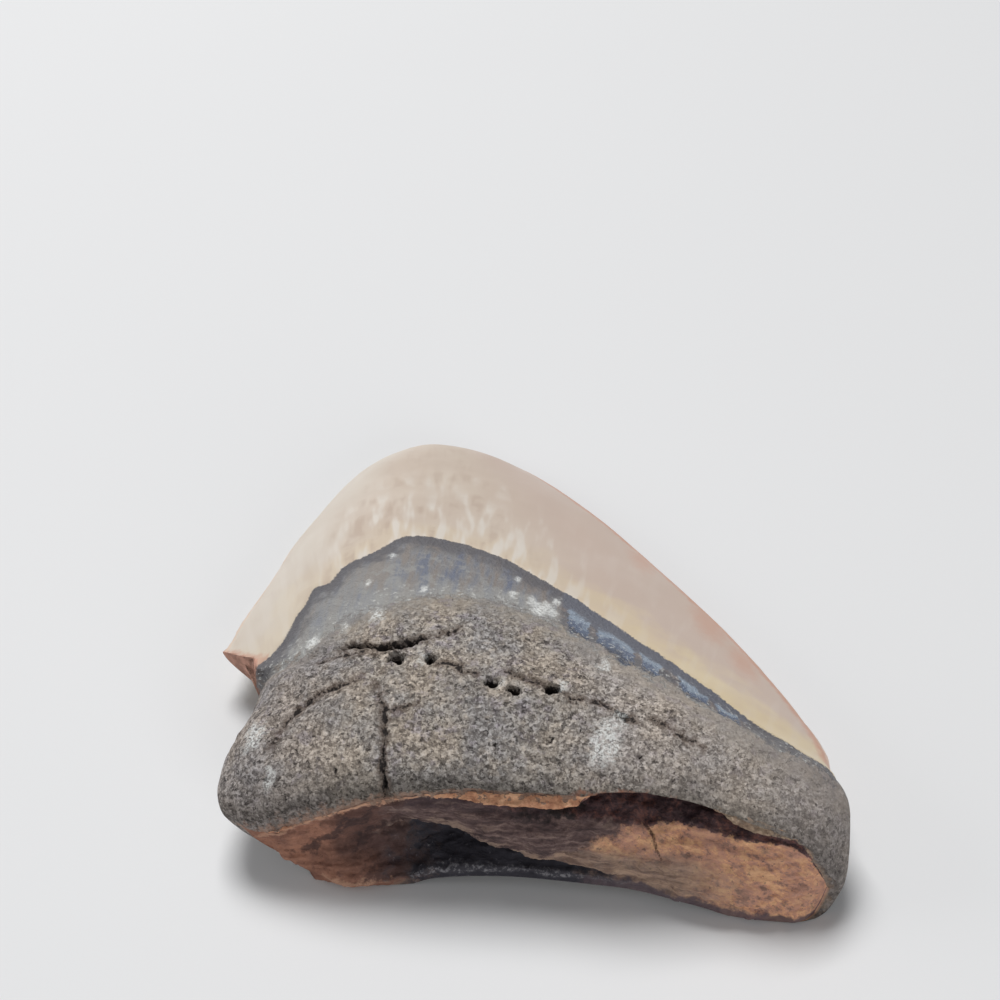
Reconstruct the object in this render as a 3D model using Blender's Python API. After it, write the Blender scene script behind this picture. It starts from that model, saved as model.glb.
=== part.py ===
"""Fossil megalodon tooth lying on its labial face: crown, root and broken root base, one solid.

The tables are in millimetres and the mesh is in metres.  X runs across the root, Y from the root
to the tip, and Z up out of the domed (lingual) face.  Three grids share their border vertices:
the lingual face, the labial face that the tooth lies on, and the broken base between them.
"t" runs from the root's lip (0) to the tip (1), and "s" from the left edge (-1) to the right (1).
"""

import math

import bmesh
import bpy
import numpy as np
from mathutils import Vector, noise
from mathutils.bvhtree import BVHTree

# Driving dimensions, in millimetres.
ROOT_WIDTH = 102.0  # across the two root lobes
TIP_Y = 105.5  # the tip, ahead of the line between the lobes
ROOT_THICKNESS = 27.5  # at the root's swelling
DESIGN_WIDTH, DESIGN_TIP_Y, DESIGN_THICKNESS = 102.0, 105.5, 27.5  # what the tables are drawn at
MM = 0.001

# Outline of the tooth seen from above: (t, x, y, z of the widest line).
LEFT_EDGE = (
    (0.00, -45.2, -3.6, 9.5), (0.04, -49.1, -2.0, 10.4), (0.09, -51.1, 2.4, 11.2),
    (0.13, -51.3, 6.6, 11.0), (0.17, -50.4, 11.0, 10.8), (0.205, -49.3, 15.3, 10.5),
    (0.24, -49.1, 19.8, 10.0), (0.27, -49.4, 24.0, 9.5), (0.34, -51.0, 35.0, 9.0),
    (0.40, -53.0, 43.0, 8.5), (0.55, -54.4, 60.0, 7.5), (0.70, -51.2, 77.0, 6.5),
    (0.85, -45.0, 94.5, 5.0), (0.94, -39.2, 101.9, 4.0), (0.98, -34.8, 104.6, 3.4),
    (0.995, -31.8, 105.3, 3.1), (1.00, -29.5, 105.5, 3.0),
)
RIGHT_EDGE = (
    (0.00, 47.8, -1.2, 4.5), (0.02, 49.6, -1.5, 3.6), (0.045, 50.8, 0.0, 4.4),
    (0.07, 51.1, 1.6, 6.4), (0.11, 51.1, 4.0, 9.2), (0.17, 51.2, 7.8, 11.0),
    (0.21, 50.9, 10.0, 11.4), (0.245, 49.6, 12.3, 11.4), (0.275, 49.0, 14.6, 11.6),
    (0.31, 48.9, 18.2, 11.5), (0.35, 48.0, 22.0, 11.0), (0.40, 46.0, 27.3, 10.0),
    (0.55, 35.6, 46.2, 8.5), (0.70, 21.9, 65.2, 7.0), (0.85, 4.2, 86.5, 5.5),
    (0.94, -10.0, 98.9, 4.5), (0.98, -19.5, 103.8, 3.7), (0.995, -25.6, 105.3, 3.2),
    (1.00, -29.5, 105.5, 3.0),
)
# The left shoulder of the crown stands out past the root's neck: (t, how far).
LEFT_SHOULDER = (
    (0.0, 0.0), (0.268, 0.0), (0.29, 8.8), (0.315, 9.4), (0.34, 8.2), (0.40, 5.2), (0.56, 0.6), (0.70, 0.0),
)
SHOULDER_FADE = 4.0  # how fast that fades towards the right edge
SHOULDER_RIM = 12.0  # the same for the rim that the shoulder flattens
SHOULDER_FLATNESS = 0.087  # how much lower the rim is for each millimetre of the shoulder

# Lingual face: height of its crest, where the crest runs, and how square its section is.
CREST_HEIGHT = (
    (0.00, 17.5), (0.06, 21.0), (0.14, 24.5), (0.24, 27.2), (0.32, 27.5), (0.40, 26.0),
    (0.55, 22.0), (0.70, 17.2), (0.85, 12.0), (0.94, 8.6), (1.00, 3.2),
)
CREST_PLACE = ((0.0, -0.10), (0.2, -0.22), (0.3, -0.30), (0.5, -0.38), (0.8, -0.30), (1.0, -0.15))
SECTION_ROUNDING = ((0.0, 0.5), (0.24, 0.5), (0.32, 0.95), (1.0, 1.0))
SECTION_POWER = ((0.0, 2.6), (0.25, 2.2), (0.5, 2.0), (0.9, 2.0), (1.0, 2.6))

# The lip is the front edge of the root's crust: (s, y, z).  It arches up between the lobes.
LIP = (
    (-1.00, -3.6, 9.5), (-0.95, -4.1, 9.6), (-0.90, -4.3, 10.4), (-0.82, -4.0, 12.4),
    (-0.70, -3.2, 15.1), (-0.60, -2.2, 16.7), (-0.53, -1.5, 17.6), (-0.44, -1.0, 18.4),
    (-0.28, 0.1, 19.0), (-0.20, 0.5, 19.3), (-0.10, 0.6, 19.4), (0.02, 0.7, 19.6),
    (0.15, 1.0, 20.2), (0.27, 1.7, 21.3), (0.34, 2.4, 21.2), (0.45, 2.6, 20.3),
    (0.60, 1.6, 19.0), (0.70, 0.4, 18.3), (0.82, -0.2, 16.8), (0.87, -0.6, 15.2),
    (0.91, -1.0, 13.4), (0.935, -1.5, 11.3), (0.962, -1.5, 9.0), (0.985, -1.3, 6.6),
    (1.00, -1.2, 4.5),
)
LIP_REACH = 0.20  # t where the lip's shape has faded out

# Labial face: height of its middle line, and the front edge that the tooth stands on.
LABIAL_HEIGHT = (
    (0.0, 2.3), (0.1, 2.0), (0.2, 1.7), (0.3, 1.3), (0.45, 0.6), (0.6, 0.05), (0.68, -0.2),
    (0.82, -0.2), (0.9, 0.4), (0.96, 1.4), (1.0, 3.0),
)
LABIAL_ROUNDING = ((0.0, 0.5), (0.22, 0.5), (0.33, 0.5), (0.46, 1.0), (1.0, 1.0))
LABIAL_POWER = ((0.0, 2.6), (0.25, 2.4), (0.4, 2.6), (1.0, 2.4))
BASE_EDGE = (  # (s, y, z)
    (-1.00, -3.6, 9.5), (-0.95, -4.3, 7.3), (-0.90, -4.5, 5.7), (-0.80, -5.0, 3.0),
    (-0.70, -5.9, 0.4), (-0.52, -5.6, 0.3), (-0.34, -4.3, 1.9), (0.0, -3.4, 2.6),
    (0.3, -3.4, 2.2), (0.55, -4.6, 1.2), (0.78, -5.6, 0.3), (0.89, -5.5, 0.2),
    (0.93, -4.9, 0.2), (0.96, -3.7, 0.5), (0.985, -2.3, 2.0), (1.00, -1.2, 4.5),
)
LOBES = ((-0.62, 0.20), (0.86, 0.16))  # (s, half width) of the two lobes' contact patches
LOBE_DROP = 3.2
LOBE_LENGTH = 0.13  # in t

# Broken base, between lip (v = 0) and base edge (v = 1): (s, v, half s, half v, how far out).
BASE_FORMS = (
    (0.40, 0.20, 0.28, 0.20, -1.4), (-0.02, 0.42, 0.30, 0.20, 1.6), (-0.50, 0.52, 0.21, 0.26, -3.4),
    (-0.64, 0.88, 0.16, 0.14, 1.8), (0.58, 0.68, 0.36, 0.28, 2.2),
)
# The ledge under the lip: (s, v of its lower edge, how far it stands out).
LEDGE = (
    (-0.98, 0.02, 0.0), (-0.85, 0.05, 0.6), (-0.62, 0.04, 0.5), (-0.40, 0.04, 0.6), (-0.28, 0.06, 0.9),
    (-0.16, 0.11, 1.2), (-0.05, 0.15, 1.3), (0.03, 0.155, 1.4), (0.13, 0.205, 1.3), (0.19, 0.235, 1.1),
    (0.215, 0.22, 0.8), (0.245, 0.08, 0.3), (0.27, 0.01, 0.0),
)
LEDGE_SOFTNESS = 0.05
# The recess between the ledge and the slab: (s, v of the slab's top edge, depth of the recess above it).
RECESS = (
    (-0.05, 0.20, 0.0), (0.03, 0.22, 1.4), (0.10, 0.245, 2.6), (0.16, 0.275, 3.6), (0.22, 0.31, 4.4),
    (0.30, 0.345, 5.2), (0.37, 0.355, 5.6), (0.43, 0.32, 5.6), (0.50, 0.285, 5.2), (0.57, 0.27, 4.8),
    (0.64, 0.262, 4.2), (0.70, 0.238, 3.6), (0.76, 0.205, 3.0), (0.82, 0.165, 2.4), (0.88, 0.11, 1.5),
    (0.93, 0.06, 0.0),
)
RECESS_ROOF_SOFTNESS = 0.12
RECESS_FLOOR_SOFTNESS = 0.05
# The dark hollow under the shelf: (s, v of the shelf's lower edge, depth of the hollow below it).
HOLLOW = (
    (-0.60, 0.50, 0.0), (-0.52, 0.48, 1.4), (-0.44, 0.42, 3.2), (-0.36, 0.38, 5.4), (-0.28, 0.40, 6.0),
    (-0.22, 0.47, 6.0), (-0.15, 0.58, 5.2), (-0.05, 0.665, 4.2), (0.03, 0.745, 3.2), (0.10, 0.775, 2.6),
    (0.19, 0.765, 2.2), (0.27, 0.78, 1.8), (0.40, 0.81, 1.4), (0.56, 0.81, 1.2), (0.72, 0.77, 1.0),
    (0.80, 0.80, 0.8), (0.88, 0.86, 0.4), (0.94, 0.93, 0.0),
)
HOLLOW_FLOOR = 0.90  # v where the rim under the hollow comes out again
HOLLOW_SOFTNESS = 0.09

# The chip out of the left shoulder: an upright face through a point.
CHIP_POINT = (-55.5, 31.3)
CHIP_SLOPE = -0.577  # of the face seen from above
CHIP_RIGHT = -50.4  # x where it ends at the neck
CHIP_DEPTH = 9.5  # how far the shoulder reached past it

# Grain: (lump size, height) of the noise on root and crown.
ROOT_LUMPS = (11.0, 0.75)
CROWN_LUMPS = (22.0, 0.30)
CRUST_END = 0.30  # t where the root's lumps give way to the crown

LUMP_ROUGHNESS, LUMP_SCALING, LUMP_OCTAVES = 0.8, 2.1, 3
LUMP_RAMP = 12.0  # the lumps fade in over one part in this many at each border
CRUST_BLEND = 0.04  # in t
BASE_RAMP, BASE_SIDE_RAMP = 14.0, 8.0  # the same for the forms of the broken base, along v and s

# Nutrient pores of the root: (x, y, radius).
PORES = ((-23.7, 19.7, 1.35), (-17.9, 19.5, 0.9), (-7.6, 15.8, 0.9), (-3.9, 14.5, 0.9), (2.2, 15.1, 0.8))
PORE_DEPTH = 4.5
PORE_SIDES = 8
PORE_BOTTOM, PORE_MOUTH = 0.45, 1.25  # taper, as shares of the radius
PORE_CLEARANCE = 1.0  # how far the cutter stands out of the surface

# Cracks across the root: points (x, y, width) along each one, and its depth.
UPPER_CRACK = (
    (-37.8, 20.9, 0.3), (-34.3, 22.0, 0.7), (-31.4, 23.0, 1.0), (-28.1, 22.5, 1.1), (-24.9, 22.6, 1.3),
    (-21.7, 23.3, 1.2), (-19.4, 24.6, 0.7), (-16.0, 25.4, 0.6), (-14.4, 27.0, 0.2),
)
LOWER_CRACK = (
    (-16.6, 18.8, 0.3), (-12.2, 17.3, 0.8), (-7.6, 15.8, 1.0), (-3.9, 14.7, 1.0), (2.2, 15.1, 0.9),
    (7.7, 14.3, 0.7), (12.8, 12.5, 0.6), (15.8, 11.4, 0.5), (21.0, 10.4, 0.4), (26.6, 9.0, 0.2),
)
UPRIGHT_CRACK = (
    (-26.6, 14.8, 0.3), (-24.0, 10.3, 0.7), (-23.4, 6.4, 0.8), (-23.1, 2.7, 0.9), (-22.4, -0.5, 1.1),
    (-22.2, -1.8, 1.2),
)
CRACKS = ((UPPER_CRACK, 2.2), (LOWER_CRACK, 1.8), (UPRIGHT_CRACK, 2.0))
CRACK_SPACING = 2.0  # between the rings of a crack's cutter
CRACK_CLEARANCE = 0.8  # how far the cutter stands out of the surface
CRACK_FLARE = 1.5  # its width there, as a share of the crack's

ROOT_ROWS, CROWN_ROWS, COLUMNS, BASE_ROWS = 15, 22, 44, 17
COLUMN_CROWDING = 0.55  # share of the columns' places that crowds towards the two edges
BASE_CROWDING = 1.2  # power that crowds the rows of the broken base towards the lip

FOSSIL_COLOUR = (0.42, 0.38, 0.34, 1.0)
FOSSIL_ROUGHNESS = 0.75


def smooth(knots, place, column=1):
    """Monotone cubic through the knots (place, value, ...), read at each place."""
    x = np.array([knot[0] for knot in knots])
    y = np.array([knot[column] for knot in knots])
    run = np.diff(x)
    rise = np.diff(y) / run
    slope = np.concatenate(([rise[0]], np.zeros(len(x) - 2), [rise[-1]]))
    for i in range(1, len(x) - 1):
        if rise[i - 1] * rise[i] > 0:
            before = 2 * run[i] + run[i - 1]
            after = run[i] + 2 * run[i - 1]
            slope[i] = (before + after) / (before / rise[i - 1] + after / rise[i])
    place = np.clip(place, x[0], x[-1])
    i = np.clip(np.searchsorted(x, place, side="right") - 1, 0, len(run) - 1)
    u = (place - x[i]) / run[i]
    start = (1 + 2 * u) * (1 - u) ** 2 * y[i] + u * (1 - u) ** 2 * run[i] * slope[i]
    end = u * u * (3 - 2 * u) * y[i + 1] + u * u * (u - 1) * run[i] * slope[i + 1]
    return start + end


def step(value):
    """Smooth step from 0 at 0 to 1 at 1."""
    value = np.clip(value, 0, 1)
    return value * value * (3 - 2 * value)


def shoulder(t, s, fade):
    """Reach of the left shoulder at each (t, s), in millimetres at the left edge."""
    return smooth(LEFT_SHOULDER, t) * ((1 - s) / 2) ** fade


def outline(t, s):
    """Plan position, and height of the widest line, at each (t, s)."""
    left = [smooth(LEFT_EDGE, t, column) for column in (1, 2, 3)]
    right = [smooth(RIGHT_EDGE, t, column) for column in (1, 2, 3)]
    x, y, z = (a + (b - a) * (s + 1) / 2 for a, b in zip(left, right))
    return x - shoulder(t, s, SHOULDER_FADE), y, z


def section(s, power, rounding):
    """Height of a cross-section at s, from 1 on its crest to 0 at its edges."""
    return np.clip(1 - np.abs(s) ** power, 0, 1) ** rounding


def lingual(t, s):
    """The domed face, with the lip's arch worked into its front."""
    x, y, edge = outline(t, s)
    crest = smooth(CREST_PLACE, t)
    from_crest = np.where(s < crest, (s - crest) / (1 + crest), (s - crest) / (1 - crest))
    dome = section(from_crest, smooth(SECTION_POWER, t), smooth(SECTION_ROUNDING, t))
    edge_at_crest = outline(t, crest)[2]
    dome = dome * (1 - SHOULDER_FLATNESS * shoulder(t, s, SHOULDER_RIM))
    z = edge + (smooth(CREST_HEIGHT, t) - edge_at_crest) * dome
    fade = np.clip(1 - t / LIP_REACH, 0, 1) ** 2
    y = y + fade * (smooth(LIP, s, 1) - outline(np.zeros_like(t), s)[1])
    z = z + fade * (smooth(LIP, s, 2) - lip_before_arch(s))
    return np.stack([x, y, z], axis=-1)


def lip_before_arch(s):
    """Height that the dome alone gives the lip."""
    first = np.zeros_like(s)
    crest = smooth(CREST_PLACE, first)
    from_crest = np.where(s < crest, (s - crest) / (1 + crest), (s - crest) / (1 - crest))
    dome = section(from_crest, SECTION_POWER[0][1], SECTION_ROUNDING[0][1])
    return outline(first, s)[2] + (CREST_HEIGHT[0][1] - outline(first, crest)[2]) * dome


def labial(t, s):
    """The face that the tooth lies on, flat where it touches and lifted between the lobes."""
    x, y, edge = outline(t, s)
    middle = smooth(LABIAL_HEIGHT, t)
    dome = section(s, smooth(LABIAL_POWER, t), smooth(LABIAL_ROUNDING, t))
    z = edge + (middle - edge) * dome
    fade = np.clip(1 - t / LIP_REACH, 0, 1) ** 2
    first = np.zeros_like(t)
    first_dome = section(s, LABIAL_POWER[0][1], LABIAL_ROUNDING[0][1])
    first_edge = outline(first, s)[2]
    y = y + fade * (smooth(BASE_EDGE, s, 1) - outline(first, s)[1])
    z = z + fade * (smooth(BASE_EDGE, s, 2) - first_edge - (LABIAL_HEIGHT[0][1] - first_edge) * first_dome)
    for place, half_width in LOBES:
        z = z - LOBE_DROP * dome * np.exp(-(((s - place) / half_width) ** 2) - (t / LOBE_LENGTH) ** 2)
    return np.stack([x, y, np.maximum(z, 0.0)], axis=-1)


def base_face(v, s):
    """The broken face between the lip and the base edge, with its recess, ledge, shelf and hollow."""
    start = np.zeros_like(s)
    high, low = lingual(start, s), labial(start, s)
    points = high + (low - high) * v[..., None]
    out = sum(
        height * np.exp(-(((s - at_s) / half_s) ** 2) - ((v - at_v) / half_v) ** 2)
        for at_s, at_v, half_s, half_v, height in BASE_FORMS
    )
    hollow = step((v - smooth(HOLLOW, s)) / HOLLOW_SOFTNESS) * step((HOLLOW_FLOOR - v) / HOLLOW_SOFTNESS)
    recess = step((v - smooth(LEDGE, s)) / RECESS_ROOF_SOFTNESS)
    recess = recess * step((smooth(RECESS, s) - v) / RECESS_FLOOR_SOFTNESS)
    ledge = step((smooth(LEDGE, s) - v) / LEDGE_SOFTNESS + 0.5)
    out += smooth(LEDGE, s, 2) * ledge - smooth(HOLLOW, s, 2) * hollow - smooth(RECESS, s, 2) * recess
    border = np.clip(v * (1 - v) * BASE_RAMP, 0, 1) * np.clip((1 - np.abs(s)) * BASE_SIDE_RAMP, 0, 1)
    points[..., 1] -= out * border
    return points


def chipped(points):
    """Points of the left shoulder laid back on the chip's face."""
    face = CHIP_POINT[1] + CHIP_SLOPE * (points[..., 0] - CHIP_POINT[0])
    near = (points[..., 0] < CHIP_RIGHT) & (points[..., 1] > face - CHIP_DEPTH)
    past = np.where(near, np.maximum(face - points[..., 1], 0), 0.0)
    return points + past[..., None] * np.array([0.0, 1.0, 0.0])


def lumps(point, size, height):
    """Noise height at a point, in millimetres."""
    return height * noise.fractal(Vector(point) / size, LUMP_ROUGHNESS, LUMP_SCALING, LUMP_OCTAVES)


def row_places():
    """Places of the rows along t: even on the root, and closer towards the tip."""
    root = np.linspace(0, CRUST_END, ROOT_ROWS, endpoint=False)
    turn = np.linspace(0, math.pi / 2, CROWN_ROWS)
    crown = CRUST_END + (1 - CRUST_END) * np.sin(turn)
    return np.concatenate([root, crown])


def column_places():
    """Places of the columns along s, closer towards the two edges."""
    u = np.linspace(-1, 1, COLUMNS + 1)
    return (1 - COLUMN_CROWDING) * u + COLUMN_CROWDING * np.sin(u * math.pi / 2)


def lay_grid(bm, points, shared):
    """Add a grid of points to the mesh, reusing the vertices that "shared" names by (row, column)."""
    rows, columns = points.shape[:2]
    grid = [[None] * columns for _ in range(rows)]
    for i in range(rows):
        for j in range(columns):
            grid[i][j] = shared.get((i, j)) or bm.verts.new(Vector(points[i, j]) * MM)
    return grid


def fill_grid(bm, grid, flip):
    """Faces between the rows of a grid, leaving out sides that have shrunk to a point."""
    for low, high in zip(grid, grid[1:]):
        for j in range(len(low) - 1):
            ring = []
            for vertex in (low[j], low[j + 1], high[j + 1], high[j]):
                if vertex not in ring:
                    ring.append(vertex)
            if len(ring) > 2:
                bm.faces.new(reversed(ring) if flip else ring)


def lumpy(points, normals_out, size, height, weight):
    """Move each point of a grid along its normal by noise."""
    moved = points.copy()
    for i in range(points.shape[0]):
        for j in range(points.shape[1]):
            moved[i, j] += normals_out[i, j] * lumps(points[i, j], size, height) * weight[i, j]
    return moved


def grid_normals(points, outward):
    """Unit normal at each point of a grid, on the side of "outward"."""
    along = np.gradient(points, axis=0)
    across = np.gradient(points, axis=1)
    normal = np.cross(across, along)
    length = np.linalg.norm(normal, axis=-1, keepdims=True)
    normal = normal / np.maximum(length, 1e-9)
    side = np.sign((normal * outward).sum(axis=-1, keepdims=True))
    return normal * np.where(side == 0, 1, side)


def shaped(points):
    """Chip the points and bring them to the driving dimensions."""
    scale = (ROOT_WIDTH / DESIGN_WIDTH, TIP_Y / DESIGN_TIP_Y, ROOT_THICKNESS / DESIGN_THICKNESS)
    return chipped(points) * np.array(scale)


def tooth_mesh():
    """The whole tooth as one closed mesh, before its pores and cracks are cut."""
    rows, columns = row_places(), column_places()
    t, s = np.meshgrid(rows, columns, indexing="ij")
    root_share = np.clip((CRUST_END - t) / CRUST_BLEND, 0, 1)
    inside = np.clip((1 - np.abs(s)) * LUMP_RAMP, 0, 1) * np.clip(t * (1 - t) * LUMP_RAMP, 0, 1)

    top = lingual(t, s)
    up = grid_normals(top, np.array([0.0, 0.0, 1.0]))
    top = lumpy(top, up, *ROOT_LUMPS, inside * root_share)
    top = lumpy(top, up, *CROWN_LUMPS, inside * (1 - root_share))
    bottom = labial(t, s)
    v, base_s = np.meshgrid(np.linspace(0, 1, BASE_ROWS) ** BASE_CROWDING, columns, indexing="ij")
    base = base_face(v, base_s)

    bm = bmesh.new()
    last, right = len(rows) - 1, len(columns) - 1
    tip = bm.verts.new(Vector(shaped(top[last, 0])) * MM)
    top_grid = lay_grid(bm, shaped(top), {(last, j): tip for j in range(right + 1)})
    edges = {(i, j): top_grid[i][j] for i in range(last + 1) for j in (0, right)}
    bottom_grid = lay_grid(bm, shaped(bottom), edges | {(last, j): tip for j in range(right + 1)})
    borders = {(0, j): top_grid[0][j] for j in range(right + 1)}
    borders |= {(BASE_ROWS - 1, j): bottom_grid[0][j] for j in range(right + 1)}
    borders |= {(i, 0): top_grid[0][0] for i in range(BASE_ROWS)}
    borders |= {(i, right): top_grid[0][right] for i in range(BASE_ROWS)}
    base_grid = lay_grid(bm, shaped(base), borders)
    fill_grid(bm, top_grid, flip=False)
    fill_grid(bm, bottom_grid, flip=True)
    fill_grid(bm, base_grid, flip=True)
    bmesh.ops.triangulate(bm, faces=bm.faces[:])
    bmesh.ops.recalc_face_normals(bm, faces=bm.faces[:])
    return bm


def new_object(name, bm, material=None):
    """A mesh object of that name in the scene."""
    mesh = bpy.data.meshes.new(name)
    bm.to_mesh(mesh)
    bm.free()
    item = bpy.data.objects.new(name, mesh)
    bpy.context.scene.collection.objects.link(item)
    if material:
        mesh.materials.append(material)
    return item


def resampled(path, spacing):
    """Points (x, y, width) at even spacing along a crack's path."""
    points = [path[0]]
    for start, end in zip(path, path[1:]):
        count = max(1, round(math.dist(start[:2], end[:2]) / spacing))
        for k in range(1, count + 1):
            points.append(tuple(a + (b - a) * k / count for a, b in zip(start, end)))
    return points


def surface_point(tree, x, y):
    """Point of the domed face above a plan position in millimetres."""
    hit = tree.ray_cast(Vector((x, y, 2 * ROOT_THICKNESS)) * MM, Vector((0, 0, -1)))
    return hit[0]


def pore_cutters(tree):
    """A tapering eight-sided plug for each pore."""
    bm = bmesh.new()
    for x, y, radius in PORES:
        mouth = surface_point(tree, x, y)
        ring = bmesh.ops.create_cone(
            bm, cap_ends=True, segments=PORE_SIDES, radius1=radius * PORE_BOTTOM * MM,
            radius2=radius * PORE_MOUTH * MM, depth=(PORE_DEPTH + PORE_CLEARANCE) * MM,
        )
        centre = mouth - Vector((0, 0, (PORE_DEPTH - PORE_CLEARANCE) / 2)) * MM
        bmesh.ops.translate(bm, verts=ring["verts"], vec=centre)
    return bm


def crack_cutter(tree, path, depth):
    """A wedge that follows a crack's path over the face, thin at both ends."""
    bm = bmesh.new()
    rings = []
    path = resampled(path, CRACK_SPACING)
    for i, (x, y, width) in enumerate(path):
        before = path[max(i - 1, 0)]
        after = path[min(i + 1, len(path) - 1)]
        along = Vector((after[0] - before[0], after[1] - before[1], 0)).normalized()
        side = Vector((-along.y, along.x, 0)) * (CRACK_FLARE * width / 2 * MM)
        middle = surface_point(tree, x, y)
        bottom = middle - Vector((0, 0, depth * min(width, 1.0) * MM))
        top = middle + Vector((0, 0, CRACK_CLEARANCE * MM))
        rings.append([bm.verts.new(p) for p in (top - side, top + side, bottom)])
    for low, high in zip(rings, rings[1:]):
        for j in range(3):
            k = (j + 1) % 3
            bm.faces.new((low[j], low[k], high[k], high[j]))
    bm.faces.new(rings[0])
    bm.faces.new(rings[-1])
    bmesh.ops.recalc_face_normals(bm, faces=bm.faces[:])
    return bm


def cut(target, name, bm):
    """Subtract a cutter from the tooth."""
    cutter = new_object(name, bm)
    cutter.hide_render = True
    cutter.display_type = "WIRE"
    difference = target.modifiers.new(name, "BOOLEAN")
    difference.operation = "DIFFERENCE"
    difference.solver = "EXACT"
    difference.object = cutter
    return cutter


def fossil_material():
    """Grey-brown mineralised root and crown."""
    material = bpy.data.materials.new("fossil")
    material.use_nodes = True
    shader = material.node_tree.nodes["Principled BSDF"]
    shader.inputs["Base Color"].default_value = FOSSIL_COLOUR
    shader.inputs["Roughness"].default_value = FOSSIL_ROUGHNESS
    shader.inputs["Metallic"].default_value = 0.0
    return material


def main():
    for item in list(bpy.data.objects):
        bpy.data.objects.remove(item, do_unlink=True)
    bm = tooth_mesh()
    tree = BVHTree.FromBMesh(bm)
    low = np.min([v.co for v in bm.verts], axis=0)
    high = np.max([v.co for v in bm.verts], axis=0)
    tooth = new_object("tooth", bm, fossil_material())
    cutters = [cut(tooth, "pore_cutter", pore_cutters(tree))]
    for number, (path, depth) in enumerate(CRACKS, 1):
        cutters.append(cut(tooth, f"crack_cutter_{number}", crack_cutter(tree, path, depth)))
    middle = (low + high) / 2
    for item in [tooth] + cutters:
        item.location = (-middle[0], -middle[1], -low[2])


main()
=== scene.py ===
"""Looks of a fossil megalodon tooth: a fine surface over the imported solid, its materials and a studio.

Lengths in the tables are millimetres in the tooth's own drawing frame: X across the root, Y from
the root to the tip, Z up out of the domed (lingual) face.  "t" runs from the root's lip (0) to the
tip (1), "s" from the left edge (-1) to the right (1), and "v" from the lip (0) down the broken base
to the edge that the tooth stands on (1).
"""

import math

import bpy
import numpy as np
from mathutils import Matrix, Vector, noise


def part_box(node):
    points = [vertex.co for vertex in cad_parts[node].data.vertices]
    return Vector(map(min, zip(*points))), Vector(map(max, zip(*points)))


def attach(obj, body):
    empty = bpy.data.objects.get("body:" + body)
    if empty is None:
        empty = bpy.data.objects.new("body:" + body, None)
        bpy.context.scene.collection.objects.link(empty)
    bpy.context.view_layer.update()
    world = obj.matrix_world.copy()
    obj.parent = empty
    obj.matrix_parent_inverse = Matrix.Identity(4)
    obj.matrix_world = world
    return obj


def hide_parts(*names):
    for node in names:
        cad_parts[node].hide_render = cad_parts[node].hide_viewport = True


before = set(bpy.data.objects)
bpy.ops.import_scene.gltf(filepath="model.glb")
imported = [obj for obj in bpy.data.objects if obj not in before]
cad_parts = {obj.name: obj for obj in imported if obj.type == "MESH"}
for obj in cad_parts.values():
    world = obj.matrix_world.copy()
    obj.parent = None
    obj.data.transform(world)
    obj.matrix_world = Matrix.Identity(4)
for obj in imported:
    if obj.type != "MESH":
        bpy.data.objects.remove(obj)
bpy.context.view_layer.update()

MM = 0.001

# ---------------------------------------------------------------- main shape, as in the solid

LEFT_EDGE = (  # (t, x, y, z of the widest line)
    (0.00, -45.2, -3.6, 9.5), (0.04, -49.1, -2.0, 10.4), (0.09, -51.1, 2.4, 11.2),
    (0.13, -51.3, 6.6, 11.0), (0.17, -50.4, 11.0, 10.8), (0.205, -49.3, 15.3, 10.5),
    (0.24, -49.1, 19.8, 10.0), (0.27, -49.4, 24.0, 9.5), (0.34, -51.0, 35.0, 9.0),
    (0.40, -53.0, 43.0, 8.5), (0.55, -54.4, 60.0, 7.5), (0.70, -51.2, 77.0, 6.5),
    (0.85, -45.0, 94.5, 5.0), (0.94, -39.2, 101.9, 4.0), (0.98, -34.8, 104.6, 3.4),
    (0.995, -31.8, 105.3, 3.1), (1.00, -29.5, 105.5, 3.0),
)
RIGHT_EDGE = (  # (t, x, y, z of the widest line)
    (0.00, 47.8, -1.2, 4.5), (0.02, 49.6, -1.5, 3.6), (0.045, 50.8, 0.0, 4.4),
    (0.07, 51.1, 1.6, 6.4), (0.11, 51.1, 4.0, 9.2), (0.17, 51.2, 7.8, 11.0),
    (0.21, 50.9, 10.0, 11.4), (0.245, 49.6, 12.3, 11.4), (0.275, 49.0, 14.6, 11.6),
    (0.31, 48.9, 18.2, 11.5), (0.35, 48.0, 22.0, 11.0), (0.40, 46.0, 27.3, 10.0),
    (0.55, 35.6, 46.2, 8.5), (0.70, 21.9, 65.2, 7.0), (0.85, 4.2, 86.5, 5.5),
    (0.94, -10.0, 98.9, 4.5), (0.98, -19.5, 103.8, 3.7), (0.995, -25.6, 105.3, 3.2),
    (1.00, -29.5, 105.5, 3.0),
)
LEFT_SHOULDER = (  # (t, reach past the left edge)
    (0.0, 0.0), (0.268, 0.0), (0.29, 8.8), (0.315, 9.4),
    (0.34, 8.2), (0.40, 5.2), (0.56, 0.6), (0.70, 0.0),
)
SHOULDER_FADE, SHOULDER_RIM = 4.0, 12.0  # powers with which it and its flattened rim fade to the right
SHOULDER_FLATNESS = 0.087  # how much lower the rim is for each millimetre of the shoulder
CREST_HEIGHT = (  # (t, z)
    (0.00, 17.5), (0.06, 21.0), (0.14, 24.5), (0.24, 27.2), (0.32, 27.5), (0.40, 26.0),
    (0.55, 22.0), (0.70, 17.2), (0.85, 12.0), (0.94, 8.6), (1.00, 3.2),
)
CREST_PLACE = (  # (t, s)
    (0.0, -0.10), (0.2, -0.22), (0.3, -0.30), (0.5, -0.38), (0.8, -0.30), (1.0, -0.15),
)
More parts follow.
